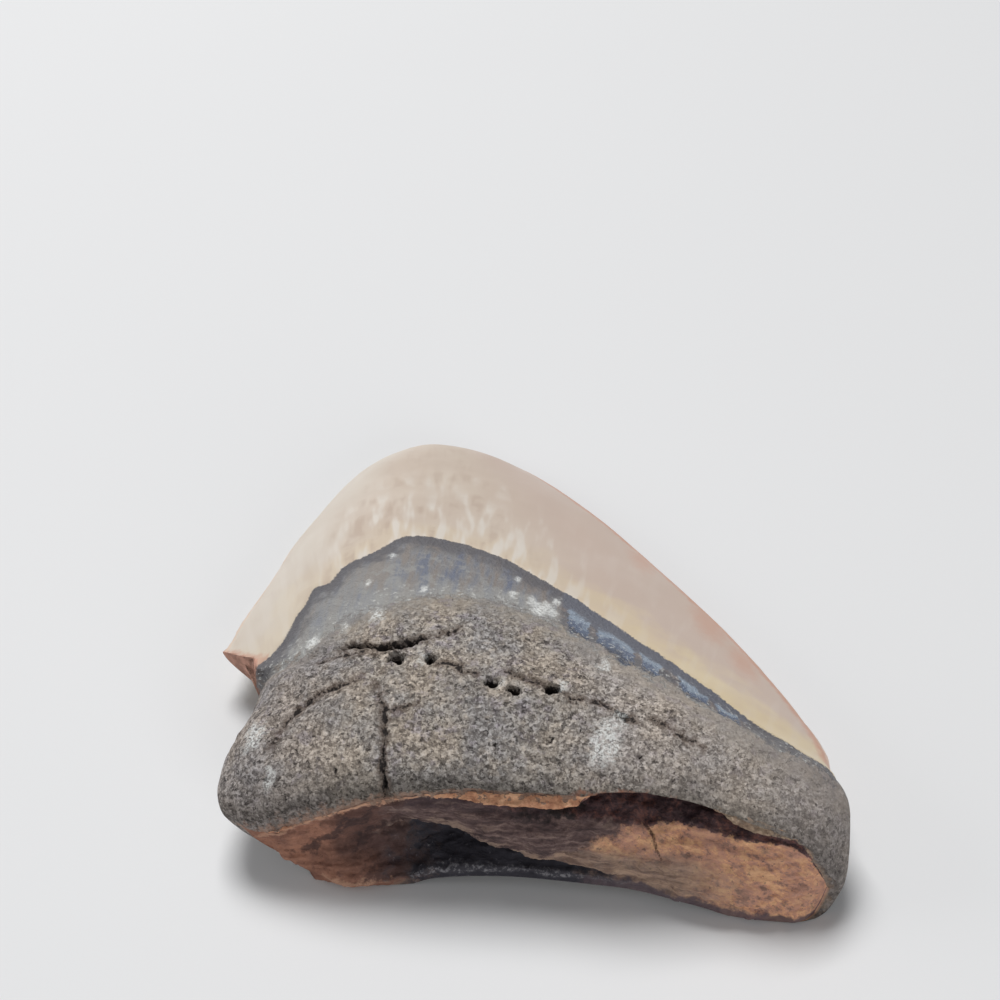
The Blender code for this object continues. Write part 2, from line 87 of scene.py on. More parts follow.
# Exponents of the domed cross-section: (t, outer one) and (t, inner one).
SECTION_ROUNDING = ((0.0, 0.5), (0.24, 0.5), (0.32, 0.95), (1.0, 1.0))
SECTION_POWER = ((0.0, 2.6), (0.25, 2.2), (0.5, 2.0), (0.9, 2.0), (1.0, 2.6))
LIP = (  # (s, y, z)
    (-1.00, -3.6, 9.5), (-0.95, -4.1, 9.6), (-0.90, -4.3, 10.4), (-0.82, -4.0, 12.4),
    (-0.70, -3.2, 15.1), (-0.60, -2.2, 16.7), (-0.53, -1.5, 17.6), (-0.44, -1.0, 18.4),
    (-0.28, 0.1, 19.0), (-0.20, 0.5, 19.3), (-0.10, 0.6, 19.4), (0.02, 0.7, 19.6),
    (0.15, 1.0, 20.2), (0.27, 1.7, 21.3), (0.34, 2.4, 21.2), (0.45, 2.6, 20.3),
    (0.60, 1.6, 19.0), (0.70, 0.4, 18.3), (0.82, -0.2, 16.8), (0.87, -0.6, 15.2),
    (0.91, -1.0, 13.4), (0.935, -1.5, 11.3), (0.962, -1.5, 9.0), (0.985, -1.3, 6.6),
    (1.00, -1.2, 4.5),
)
LIP_REACH = 0.20  # t up to which the lip and the base edge bend the faces
LABIAL_HEIGHT = (  # (t, z of the middle)
    (0.0, 2.3), (0.1, 2.0), (0.2, 1.7), (0.3, 1.3), (0.45, 0.6), (0.6, 0.05), (0.68, -0.2),
    (0.82, -0.2), (0.9, 0.4), (0.96, 1.4), (1.0, 3.0),
)
# Exponents of the flat face's cross-section, as above.
LABIAL_ROUNDING = ((0.0, 0.5), (0.22, 0.5), (0.33, 0.5), (0.46, 1.0), (1.0, 1.0))
LABIAL_POWER = ((0.0, 2.6), (0.25, 2.4), (0.4, 2.6), (1.0, 2.4))
BASE_EDGE = (  # (s, y, z)
    (-1.00, -3.6, 9.5), (-0.95, -4.3, 7.3), (-0.90, -4.5, 5.7), (-0.80, -5.0, 3.0),
    (-0.70, -5.9, 0.4), (-0.52, -5.6, 0.3), (-0.34, -4.3, 1.9), (0.0, -3.4, 2.6),
    (0.3, -3.4, 2.2), (0.55, -4.6, 1.2), (0.78, -5.6, 0.3), (0.89, -5.5, 0.2),
    (0.93, -4.9, 0.2), (0.96, -3.7, 0.5), (0.985, -2.3, 2.0), (1.00, -1.2, 4.5),
)
LOBES = ((-0.62, 0.20), (0.86, 0.16))  # (s, half width in s)
LOBE_DROP = 3.2
LOBE_LENGTH = 0.13  # in t
BASE_FORMS = (  # (s, v, half s, half v, how far out)
    (0.40, 0.20, 0.28, 0.20, -1.4), (-0.02, 0.42, 0.30, 0.20, 1.6), (-0.50, 0.52, 0.21, 0.26, -3.4),
    (-0.64, 0.88, 0.16, 0.14, 1.8), (0.58, 0.68, 0.36, 0.28, 2.2),
)
RECESS = (  # (s, v of the slab's top edge, depth of the recess above it)
    (-0.24, 0.17, 0.0), (-0.14, 0.19, 0.9), (-0.05, 0.205, 1.6), (0.03, 0.22, 2.2), (0.10, 0.245, 3.0),
    (0.16, 0.275, 3.8), (0.22, 0.31, 4.4), (0.30, 0.345, 5.2), (0.37, 0.355, 5.6), (0.43, 0.32, 5.6),
    (0.50, 0.285, 5.2), (0.57, 0.27, 4.8), (0.64, 0.262, 4.2), (0.70, 0.238, 3.6), (0.76, 0.205, 3.0),
    (0.82, 0.165, 2.4), (0.88, 0.11, 1.5), (0.93, 0.06, 0.0),
)
RECESS_ROOF_SOFTNESS, RECESS_FLOOR_SOFTNESS = 0.12, 0.05  # in v
LEDGE = (  # (s, v of the lower edge of the ledge under the lip, how far it stands out)
    (-0.98, 0.02, 0.0), (-0.85, 0.05, 0.6), (-0.62, 0.04, 0.5), (-0.40, 0.04, 0.6), (-0.28, 0.06, 0.9),
    (-0.16, 0.105, 1.2), (-0.05, 0.13, 1.3), (0.03, 0.13, 1.3), (0.10, 0.12, 1.1), (0.16, 0.085, 0.8),
    (0.21, 0.04, 0.4), (0.25, 0.01, 0.0), (0.52, 0.01, 0.0), (0.60, 0.06, 0.7), (0.68, 0.10, 1.2),
    (0.76, 0.10, 1.2), (0.82, 0.07, 0.7), (0.88, 0.01, 0.0),
)
LEDGE_SOFTNESS = 0.05  # in v
HOLLOW = (  # (s, v of the shelf's lower edge, depth below it)
    (-0.60, 0.50, 0.0), (-0.52, 0.48, 1.4), (-0.44, 0.42, 3.2), (-0.36, 0.38, 5.4), (-0.28, 0.40, 6.0),
    (-0.22, 0.47, 6.0), (-0.15, 0.58, 5.2), (-0.05, 0.665, 4.2), (0.03, 0.745, 3.2), (0.10, 0.775, 2.6),
    (0.19, 0.765, 2.2), (0.27, 0.78, 1.8), (0.40, 0.81, 1.4), (0.56, 0.81, 1.2), (0.72, 0.77, 1.0),
    (0.80, 0.80, 0.8), (0.88, 0.86, 0.4), (0.94, 0.93, 0.0),
)
HOLLOW_FLOOR = 0.90  # v where the hollow ends
HOLLOW_SOFTNESS = 0.09  # in v
BASE_EASE = (14, 8)  # how fast these forms rise from lip and base edge, and from the sides
CHIP_POINT = (-55.5, 31.3)  # (x, y) of the chip's outer corner
CHIP_SLOPE = -0.577  # of the chip's face seen from above
CHIP_RIGHT = -50.4  # x where it ends at the neck
CHIP_DEPTH = 9.5  # how far the shoulder reached past it
CHIP_BLEND = 1.8  # how softly the chip runs out there
ROOT_LUMPS, CROWN_LUMPS = (11.0, 0.75), (22.0, 0.30)  # (size, height)
LUMP_EASE = 12  # how fast the lumps rise from the borders of the face
ROOT_END, ROOT_FADE = 0.30, 0.04  # t where the root's lumps and rows end, and how softly the lumps do
TIP_Y = 105.5
NOISE_FALL, NOISE_GAP = 0.8, 2.1  # of each octave of the fractal noise

# ---------------------------------------------------------------- fine relief

# Where the root's sandy crust ends, and where the enamel starts: (x, y), left to right.
CRUST_LINE = (
    (-52.0, 22.6), (-49.0, 23.6), (-46.6, 23.5), (-44.7, 24.0), (-42.6, 24.4), (-40.6, 25.3),
    (-39.0, 26.5), (-36.6, 28.3), (-33.9, 30.0), (-31.4, 30.8), (-29.0, 31.5), (-26.6, 32.2),
    (-23.1, 33.5), (-19.5, 34.4), (-14.6, 35.0), (-11.8, 35.5), (-7.4, 34.8), (-2.6, 33.5),
    (3.0, 30.8), (7.0, 28.1), (10.9, 25.6), (15.1, 23.5), (20.0, 21.4), (26.5, 18.6),
    (32.6, 14.8), (38.9, 12.4), (44.6, 10.4), (52.0, 8.6),
)
ENAMEL_LINE = (
    (-62.0, 26.5), (-51.0, 26.6), (-49.8, 27.3), (-48.7, 27.7), (-47.9, 28.3), (-47.2, 29.5),
    (-46.5, 30.4), (-46.1, 31.9), (-45.8, 33.9), (-45.5, 35.8), (-45.0, 37.2), (-44.2, 38.2),
    (-43.7, 39.5), (-43.6, 41.8), (-42.7, 42.5), (-41.3, 42.0), (-40.2, 42.2), (-39.5, 43.4),
    (-38.4, 45.8), (-37.0, 46.9), (-35.2, 47.6), (-33.4, 48.4), (-31.8, 50.0), (-30.6, 51.2),
    (-29.3, 52.7), (-28.4, 53.6), (-26.9, 54.1), (-25.3, 54.5), (-22.6, 54.5), (-19.9, 54.3),
    (-17.2, 53.8), (-13.8, 52.5), (-9.9, 51.0), (-5.5, 48.5), (-1.0, 45.2), (2.4, 43.0),
    (6.6, 40.2), (10.7, 36.9), (15.1, 33.5), (19.4, 30.3), (24.0, 26.8), (27.7, 24.1),
    (31.4, 21.5), (35.0, 18.7), (38.6, 16.3), (42.2, 14.6), (45.4, 13.4), (48.5, 12.4), (52.0, 11.8),
)
UPPER_CRACK = (  # (x, y, width)
    (-34.4, 23.3, 0.2), (-33.0, 23.2, 0.4), (-31.4, 23.5, 0.8), (-29.8, 23.1, 0.9), (-28.1, 22.7, 0.6),
    (-26.2, 22.3, 0.9), (-24.9, 22.6, 1.0), (-23.4, 22.9, 1.1), (-21.7, 23.3, 0.9), (-20.2, 24.1, 0.5),
    (-18.0, 24.6, 0.2), (-16.0, 25.4, 0.4), (-14.8, 26.1, 0.4), (-13.6, 27.2, 0.0),
)
UPPER_CRACK_BRANCH = (
    (-37.8, 20.9, 0.0), (-36.2, 21.3, 0.3), (-34.3, 21.5, 0.3), (-31.5, 21.0, 0.3), (-29.9, 21.6, 0.2),
    (-27.9, 21.7, 0.3), (-26.4, 22.0, 0.5),
)
PORE_CRACK = (
    (-16.6, 18.8, 0.1), (-15.3, 19.0, 0.4), (-13.6, 18.5, 0.4), (-12.2, 17.2, 0.5), (-10.2, 17.1, 0.1),
)
MIDDLE_CRACK = ((-5.4, 17.8, 0.1), (-3.2, 17.2, 0.4), (-0.7, 16.5, 0.5), (1.2, 15.5, 0.3))
RIGHT_CRACK = (
    (3.7, 15.0, 0.1), (5.7, 13.9, 0.4), (7.7, 14.5, 0.1), (9.5, 14.0, 0.3), (11.6, 13.1, 0.2),
    (12.8, 12.5, 0.1), (14.3, 11.5, 0.6), (15.8, 11.4, 0.1),
)
FAR_CRACK = ((18.5, 12.2, 0.0), (21.0, 10.9, 0.1), (23.4, 9.8, 0.3), (25.1, 9.5, 0.2), (26.6, 9.0, 0.0))
UPRIGHT_CRACK = (
    (-26.6, 14.8, 0.0), (-25.5, 13.3, 0.1), (-24.7, 11.9, 0.1), (-24.0, 10.3, 0.2), (-23.5, 8.4, 0.3),
    (-23.4, 6.4, 0.2), (-23.1, 4.3, 0.35), (-23.1, 2.7, 0.3), (-22.7, 0.9, 0.4), (-22.4, -0.5, 0.5),
    (-22.2, -1.1, 0.5),
)
SIDE_CRACK = ((-23.4, 10.0, 0.1), (-21.5, 10.3, 0.2), (-20.0, 10.7, 0.1), (-18.8, 11.1, 0.0))
LEFT_GROOVE = (
    (-28.4, 16.2, 0.0), (-30.3, 15.3, 0.2), (-32.6, 14.7, 0.4), (-35.2, 14.0, 0.4), (-36.9, 12.6, 0.4),
    (-38.6, 11.1, 0.4), (-40.1, 9.5, 0.2), (-41.0, 7.4, 0.1), (-41.7, 4.7, 0.0),
)
CRACKS = (  # (path, depth)
    (UPPER_CRACK, 1.7), (UPPER_CRACK_BRANCH, 0.9), (PORE_CRACK, 1.0), (MIDDLE_CRACK, 1.2),
    (RIGHT_CRACK, 1.0), (FAR_CRACK, 0.9), (UPRIGHT_CRACK, 1.8), (SIDE_CRACK, 0.9), (LEFT_GROOVE, 1.0),
)
CRACK_WALL = 0.7  # width of the slope into a crack or a pore
HAIRLINE_CUT, FULL_CUT = 0.2, 1.0  # share of its depth that a crack of no width has, and the most
PORES = (  # (x, y, radius, depth)
    (-23.7, 19.7, 1.15, 4.0), (-17.9, 19.5, 0.90, 3.0), (-8.0, 15.9, 0.55, 2.0), (-7.1, 15.6, 0.60, 2.0),
    (-4.3, 14.6, 0.50, 2.2), (-3.4, 14.3, 0.60, 2.2), (2.2, 15.1, 0.95, 2.4), (-1.5, 14.5, 0.15, 0.7),
    (4.6, 17.2, 0.10, 0.7), (2.8, 7.4, 0.25, 0.8), (-5.9, 5.5, 0.15, 0.7), (7.2, 9.5, 0.20, 0.7),
    (4.4, 4.1, 0.10, 0.7), (16.6, 5.8, 0.20, 0.8), (19.2, 5.8, 0.15, 0.7), (-30.3, 0.6, 0.20, 0.8),
    (21.0, 13.0, 0.15, 0.7),
)
SALT_SPOTS = (  # white crusty specks: (x, y, radius)
    (-2.6, 37.4, 0.9), (-1.4, 34.9, 1.3), (-0.2, 36.8, 1.0), (1.0, 35.4, 0.9), (1.4, 39.5, 0.8),
    (-28.6, 29.6, 1.4), (-34.3, 28.3, 0.9), (-39.8, 27.1, 1.1), (-29.2, 47.2, 0.5), (-32.3, 39.3, 0.5),
    (-21.7, 36.5, 0.5), (-5.9, 44.3, 0.4), (-6.2, 38.9, 0.6), (11.3, 7.6, 2.6), (13.1, 10.5, 1.4),
    (-45.4, 7.6, 1.9), (-41.4, 0.2, 0.8), (10.6, 22.3, 1.3), (-19.3, 20.0, 0.8), (-5.9, 15.4, 0.4),
    (3.9, 16.0, 0.6),
)
SALT_LENGTH = 1.5  # how much longer the specks are along Y
BLUSHES = ((30.5, 50.5, 2.6), (35.8, 39.0, 1.6), (17.5, 67.5, 1.6))  # orange, on the enamel's edge
BLUSH_LENGTH = 2.2
PANES = ((5.8, 1.9), (12.2, 3.3), (18.4, 1.6), (25.5, 2.5), (31.0, 1.9))  # glassy: (x, half width)
ENAMEL_STEP, ENAMEL_BLEND = 0.32, 0.6  # how far the enamel stands above the bourrelet, and how softly
CRUST_STEP, CRUST_BLEND = 0.30, 3.0  # the same for the crust
GRAINS = ((2.6, 0.15), (1.1, 0.14))  # sandy grain of the crust: (size, height)
PIT_SIZE, PIT_DEPTH, PIT_SHARE = 2.0, 0.32, 0.30
PIT_NARROWING = 2.4  # how much narrower a pit is than its noise cell
PIT_CHOICE = 7.3  # spreads neighbouring cells over the noise that picks the ones with pits
SIDE_EASE, LIP_EASE, CRACK_EASE = 40, 60, 80  # how fast relief rises from the sides and from the lip
COARSE_TEAR, FINE_TEAR = (4.0, 0.0), (1.3, 5.0)  # noise that tears borders: (size, shift)
TEAR_SHIFT = 26.0  # between its two directions
CRUST_TEAR, ENAMEL_TEAR = (0.9, 0.3), (0.35, 0.16)  # millimetres of the coarse and of the fine one
CRACK_TEAR, PORE_TEAR = 0.30, 0.60  # millimetres of the fine one alone
NOTCHES = ((5.0, 0.45, 3, 11.0), (1.6, 0.1575, 2, 3.0))  # edge wear: (size, depth, octaves, shift)
NOTCH_START, NOTCH_BLEND, NOTCH_REACH = 0.28, 0.03, 0.02  # in t, t, and both s and t
LIP_DIPS = ((4.0, 0.275, 3, 31.0), (1.3, 0.165, 2, 13.0))  # wear of the lip, in the same way
LIP_WEAR_WAY = (0.0, 0.6, 1.0)  # the way in which it moves the lip
LIP_WEAR_REACH, LIP_WEAR_DEPTH, LIP_WEAR_FADE = 0.035, 0.10, 0.06  # in t, v and s
EDGE_START, EDGE_BLEND = 0.29, 0.02  # t where the cutting edges start
BASE_CLEARANCE = 0.15  # the broken base and the face next to it stay this far above the floor
BASE_CLEARANCE_REACH = 0.12  # in t
LABIAL_BORDER = (0.285, 0.085)  # t of the labial enamel's edge at the sides, and how much it arches
LABIAL_BORDER_NOISE = (5.0, 0.006)  # (size, reach in t)
LABIAL_BAND = 2.0  # width of the bourrelet there
LABIAL_LUMPS, LABIAL_GRAIN = (9.0, 0.35), (1.8, 0.16)  # (size, height)
LABIAL_EASE = (14, 30)  # how fast they rise from the sides, and from base edge and tip
LABIAL_LIFT = 0.6  # they are full where the face is this far above the floor
FOLD_HEIGHT, FOLD_PITCH, FOLD_LENGTH = 0.10, 46, 9.0  # folds at the labial enamel's edge
CHIP_RIM = 0.4  # the broken look is full where the chip cut this deep
CHIP_MARGIN = 2.0  # the chip's mark reaches this far right of it
FAR, ENAMEL_FAR = 9.0, 36.0  # marks that are distances stop here, and the one up the enamel here

SLAB_CRACK = (  # (s, v, width)
    (0.355, 0.31, 0.35), (0.375, 0.37, 0.30), (0.40, 0.42, 0.25), (0.41, 0.50, 0.20), (0.43, 0.58, 0.0),
)
SLAB_CRACK_DEPTH = 0.5
DARK_BANDS = (  # paths of (s, v, width)
    ((-0.86, 0.76, 0.6), (-0.81, 0.655, 1.4), (-0.705, 0.385, 2.2), (-0.63, 0.242, 2.0),
     (-0.56, 0.205, 1.4)),
    ((-0.60, 0.62, 1.2), (-0.52, 0.50, 2.4), (-0.46, 0.36, 2.6), (-0.42, 0.26, 1.2)),
)
PALE_SEAMS = (  # paths of (s, v, width)
    ((-0.975, 0.70, 0.6), (-0.91, 0.14, 1.6), (-0.80, 0.05, 1.6), (-0.695, 0.03, 1.4), (-0.595, 0.03, 1.2),
     (-0.40, 0.02, 0.8)),
    ((-0.73, 0.84, 0.2), (-0.69, 0.885, 1.0), (-0.63, 0.91, 1.2), (-0.56, 0.915, 1.0), (-0.50, 0.90, 0.2)),
)
HALF_WIDTH = 48.0  # half width and height of the broken base, which turn s and v into millimetres
BASE_DROP = 17.5
CORE_GRAINS = ((4.5, 0.45), (1.8, 0.28), (0.8, 0.16))  # (size, height)
CORE_SHIFT, LAYER_SHIFT = 9.0, 17.0  # places in the noise
CORE_EASE = (20, 10)  # how fast grains and layers rise, as in BASE_EASE
CORE_TEAR = (3.0, 0.2)  # noise that tears strokes: (size, millimetres)
LAYERS = ((7.0, 2.4, 1.1), 0.34)  # size of the layers' noise on each axis, and its height

ROOT_ROWS, BAND_ROWS, CROWN_ROWS, COLUMNS, BASE_ROWS = 92, 40, 52, 320, 78
BAND_END = 0.56  # t where the rows of the bourrelet give way to the crown's
COLUMN_T = 0.16  # the columns lie evenly over the dome at this t
FINE_STEPS = 600  # for measuring along a curve
LABIAL_STRIDE = 2  # the hidden face has one row and column in this many
SHARP_ANGLE = math.radians(65)  # edges that turn more than this are shaded sharp
UP, FRONT = np.array([0.0, 0.0, 1.0]), np.array([0.0, -1.0, 0.05])  # out of the dome and of the base

# ---------------------------------------------------------------- camera

CAMERA_PLACE = (7.42, -112.42, 173.72)  # in the drawing frame
CAMERA_PITCH = math.radians(50.0)
CAMERA_HEADING = math.radians(6.0085)
CAMERA_LENS, CAMERA_SENSOR, CAMERA_CLIP = 43.2, 36.0, 0.01


def smooth(knots, place, column=1):
    """Monotone cubic through the knots (place, value, ...), read at each place."""
    x = np.array([knot[0] for knot in knots])
    y = np.array([knot[column] for knot in knots])
    run = np.diff(x)
    pitch = np.diff(y) / run
    slope = np.concatenate(([pitch[0]], np.zeros(len(x) - 2), [pitch[-1]]))
    for i in range(1, len(x) - 1):
        if pitch[i - 1] * pitch[i] > 0:
            before = 2 * run[i] + run[i - 1]
            after = run[i] + 2 * run[i - 1]
            slope[i] = (before + after) / (before / pitch[i - 1] + after / pitch[i])
    place = np.clip(place, x[0], x[-1])
    i = np.clip(np.searchsorted(x, place, side="right") - 1, 0, len(run) - 1)
    u = (place - x[i]) / run[i]
    start = (1 + 2 * u) * (1 - u) ** 2 * y[i] + u * (1 - u) ** 2 * run[i] * slope[i]
    end = u * u * (3 - 2 * u) * y[i + 1] + u * u * (u - 1) * run[i] * slope[i + 1]
    return start + end


def step(value):
    """Smooth step from 0 at 0 to 1 at 1."""
    value = np.clip(value, 0, 1)
    return value * value * (3 - 2 * value)


def rise(value, steepness):
    """Straight rise from 0 at 0 to 1, that steep."""
    return np.clip(value * steepness, 0, 1)


def marked(distance, far=FAR):
    """A distance as the mesh carries it."""
    return np.clip(distance, -FAR, far)


def shoulder(t, s, fade):
    """Reach of the left shoulder at each (t, s), in millimetres at the left edge."""
    return smooth(LEFT_SHOULDER, t) * ((1 - s) / 2) ** fade


def outline(t, s):
    """Plan position, and height of the widest line, at each (t, s)."""
    left = [smooth(LEFT_EDGE, t, column) for column in (1, 2, 3)]
    right = [smooth(RIGHT_EDGE, t, column) for column in (1, 2, 3)]
    x, y, z = (a + (b - a) * (s + 1) / 2 for a, b in zip(left, right))
    return x - shoulder(t, s, SHOULDER_FADE), y, z


def section(s, power, rounding):
    """Height of a cross-section at s, from 1 on its crest to 0 at its edges."""
    return np.clip(1 - np.abs(s) ** power, 0, 1) ** rounding


def domed(s, crest, power, rounding):
    """The same with its crest at that s."""
    reach = np.where(s < crest, 1 + crest, 1 - crest)
    return section((s - crest) / reach, power, rounding)


def lip_before_arch(s):
    """Height that the dome alone gives the lip."""
    first = np.zeros_like(s)
    crest = smooth(CREST_PLACE, first)
    dome = domed(s, crest, SECTION_POWER[0][1], SECTION_ROUNDING[0][1])
    return outline(first, s)[2] + (CREST_HEIGHT[0][1] - outline(first, crest)[2]) * dome


def lingual(t, s):
    """The domed face, with the lip's arch worked into its front."""
    x, y, edge = outline(t, s)
    crest = smooth(CREST_PLACE, t)
    dome = domed(s, crest, smooth(SECTION_POWER, t), smooth(SECTION_ROUNDING, t))
    dome = dome * (1 - SHOULDER_FLATNESS * shoulder(t, s, SHOULDER_RIM))
    z = edge + (smooth(CREST_HEIGHT, t) - outline(t, crest)[2]) * dome
    fade = np.clip(1 - t / LIP_REACH, 0, 1) ** 2
    y = y + fade * (smooth(LIP, s, 1) - outline(np.zeros_like(t), s)[1])
    z = z + fade * (smooth(LIP, s, 2) - lip_before_arch(s))
    return np.stack([x, y, z], axis=-1)


def labial(t, s):
    """The face that the tooth lies on, flat where it touches and lifted between the lobes."""
    x, y, edge = outline(t, s)
    middle = smooth(LABIAL_HEIGHT, t)
    dome = section(s, smooth(LABIAL_POWER, t), smooth(LABIAL_ROUNDING, t))
    z = edge + (middle - edge) * dome
    fade = np.clip(1 - t / LIP_REACH, 0, 1) ** 2
    first = np.zeros_like(t)
    first_edge = outline(first, s)[2]
    before = first_edge + (LABIAL_HEIGHT[0][1] - first_edge) * section(
        s, LABIAL_POWER[0][1], LABIAL_ROUNDING[0][1]
    )
    y = y + fade * (smooth(BASE_EDGE, s, 1) - outline(first, s)[1])
    z = z + fade * (smooth(BASE_EDGE, s, 2) - before)
    for place, half_width in LOBES:
        z = z - LOBE_DROP * dome * np.exp(-(((s - place) / half_width) ** 2) - (t / LOBE_LENGTH) ** 2)
    return np.stack([x, y, np.maximum(z, 0.0)], axis=-1)


def past_chip_face(points):
    """Distance along Y from the chip's face towards the tip."""
    return points[..., 1] - CHIP_POINT[1] - CHIP_SLOPE * (points[..., 0] - CHIP_POINT[0])


def chipped(points):
    """Points of the left shoulder laid back on the chip's face, and how far past it they were."""
    gap = past_chip_face(points)
    near = (points[..., 0] < CHIP_RIGHT) & (gap > -CHIP_DEPTH)
    past = np.where(near, np.maximum(-gap, 0), 0.0) * step((CHIP_RIGHT - points[..., 0]) / CHIP_BLEND)
    return points + past[..., None] * np.array([0.0, 1.0, 0.0]), past


def chip_gap(points):
    """The chip's mark: distance from its face, on the shoulder that it cut."""
    return np.where(points[..., 0] < CHIP_RIGHT + CHIP_MARGIN, marked(past_chip_face(points)), FAR)


def field(points, size, octaves=3, shift=0.0):
    """Smooth noise from about -1 to 1 at each point, with lumps of that size in millimetres."""
    flat = (points.reshape(-1, 3) / size + shift).tolist()
    values = [noise.fractal(Vector(place), NOISE_FALL, NOISE_GAP, octaves) for place in flat]
    return np.array(values).reshape(points.shape[:-1])


def pits(points, size, share):
    """Round pits, 1 at their middle and 0 outside, in that share of noise cells."""
    out = np.zeros(points.shape[:-1]).reshape(-1)
    for i, place in enumerate((points.reshape(-1, 3) / size).tolist()):
        distances, cells = noise.voronoi(Vector(place))
        if noise.cell(cells[0] * PIT_CHOICE) * 0.5 + 0.5 < share:
            out[i] = max(0.0, 1.0 - distances[0] * PIT_NARROWING)
    return out.reshape(points.shape[:-1])


def path_distance(points, path):
    """Distance in plan to a path, and the path's width at the nearest place."""
    xy = points[..., :2].reshape(-1, 2)
    best = np.full(len(xy), 1e9)
    width = np.zeros(len(xy))
    for start, end in zip(path, path[1:]):
        a, b = np.array(start[:2]), np.array(end[:2])
        along = np.clip(((xy - a) @ (b - a)) / ((b - a) @ (b - a)), 0, 1)
        away = np.linalg.norm(xy - a - along[:, None] * (b - a), axis=1)
        closer = away < best
        best = np.where(closer, away, best)
        if len(start) > 2:
            width = np.where(closer, start[2] + (end[2] - start[2]) * along, width)
    shape = points.shape[:-1]
    return best.reshape(shape), width.reshape(shape)


def beyond(points, line):
    """Distance in plan past a line towards the tip, negative on the root's side."""
    away = path_distance(points, line)[0]
    level = np.interp(points[..., 0], [p[0] for p in line], [p[1] for p in line])
    return away * np.sign(points[..., 1] - level)


def spot_gap(points, spots, length=1.0):
    """Distance in plan to the edge of the nearest spot (x, y, radius, ...), negative inside."""
    x, y = points[..., 0], points[..., 1]
    gaps = [np.hypot(x - spot[0], (y - spot[1]) / length) - spot[2] for spot in spots]
    return np.min(gaps, axis=0)


def pane_gap(points):
    """Distance across to the nearest glassy pane of the bourrelet, negative inside."""
    gaps = [np.abs(points[..., 0] - middle) - half for middle, half in PANES]
    return marked(np.min(gaps, axis=0))


def stroke_gap(flat, strokes):
    """Distance to the nearest stroke (s, v, width) on the flattened base, negative inside."""
    gap = np.full(flat.shape[:-1], FAR)
    for stroke in strokes:
        path = [(at_s * HALF_WIDTH, at_v * BASE_DROP, width) for at_s, at_v, width in stroke]
        away, width = path_distance(flat, path)
        gap = np.minimum(gap, away - width / 2)
    return marked(gap)


def grid_normals(points, outward):
    """Unit normal at each point of a grid, on the side of "outward"."""
    along = np.gradient(points, axis=0)
    across = np.gradient(points, axis=1)
    normal = np.cross(across, along)
    normal = normal / np.maximum(np.linalg.norm(normal, axis=-1, keepdims=True), 1e-9)
    side = np.sign((normal * outward).sum(axis=-1, keepdims=True))
    return normal * np.where(side == 0, 1, side)


def even_places(curve, places, count):
    """That many steps of equal length along a curve, as values of its places."""
    run = np.linalg.norm(np.diff(curve, axis=0), axis=-1)
    length = np.concatenate([[0.0], np.cumsum(run)])
    return np.interp(np.linspace(0, length[-1], count + 1), length, places)


def row_places():
    """Places of the rows along t: closest on the root, and closer again towards the tip."""
    root = np.linspace(0, ROOT_END, ROOT_ROWS, endpoint=False)
    band = np.linspace(ROOT_END, BAND_END, BAND_ROWS, endpoint=False)
    turn = np.linspace(0, math.pi / 2, CROWN_ROWS + 1)
    return np.concatenate([root, band, BAND_END + (1 - BAND_END) * np.sin(turn)])


def column_places():
    """Places of the columns along s, at even distances over the dome of the root."""
    fine = np.sin(np.linspace(-1, 1, FINE_STEPS) * math.pi / 2)
    return even_places(lingual(np.full_like(fine, COLUMN_T), fine), fine, COLUMNS)


def base_places(columns):
    """Grid of v for the broken base: along each column its rows lie at even distances."""
    fine = np.linspace(0, 1, FINE_STEPS)
    v, s = np.meshgrid(fine, columns, indexing="ij")
    profile = base_shape(v, s)
    return np.stack([even_places(profile[:, j], fine, BASE_ROWS) for j in range(len(columns))], axis=1)


def small_noise(points, size, shift):
    """Sideways noise, to tear straight borders."""
    across = field(points, size, 2, shift)
    along = field(points, size, 2, shift + TEAR_SHIFT)
    return np.stack([across, along, np.zeros_like(across)], axis=-1)


def crack_gap(points):
    """Distance in plan to the edge of the nearest crack, negative inside, and how deep the cracks cut."""
    gap = np.full(points.shape[:-1], FAR)
    cut = np.zeros(points.shape[:-1])
    for path, depth in CRACKS:
        away, width = path_distance(points, path)
        away = away - width / 2
        gap = np.minimum(gap, away)
        depth = depth * np.minimum(width + HAIRLINE_CUT, FULL_CUT)
        cut = np.maximum(cut, depth * step(0.5 - away / CRACK_WALL))
    return gap, cut


def lump_height(points, t, s):
    """Broad lumps of root and crown, none on the borders of the face."""
    root_share = np.clip((ROOT_END - t) / ROOT_FADE, 0, 1)
    inside = rise(1 - np.abs(s), LUMP_EASE) * rise(t * (1 - t), LUMP_EASE)
    root = inside * root_share * ROOT_LUMPS[1] * field(points, ROOT_LUMPS[0])
    return root + inside * (1 - root_share) * CROWN_LUMPS[1] * field(points, CROWN_LUMPS[0])


def coat_height(points, coarse, crust, enamel):
    """Grain and pits of the crust, and the steps up to crust and enamel."""
    grain = sum(grain_height * field(points, size, 2) for size, grain_height in GRAINS)
    grain = grain - PIT_DEPTH * pits(points + coarse, PIT_SIZE, PIT_SHARE)
    return crust * (grain + CRUST_STEP) + enamel * ENAMEL_STEP


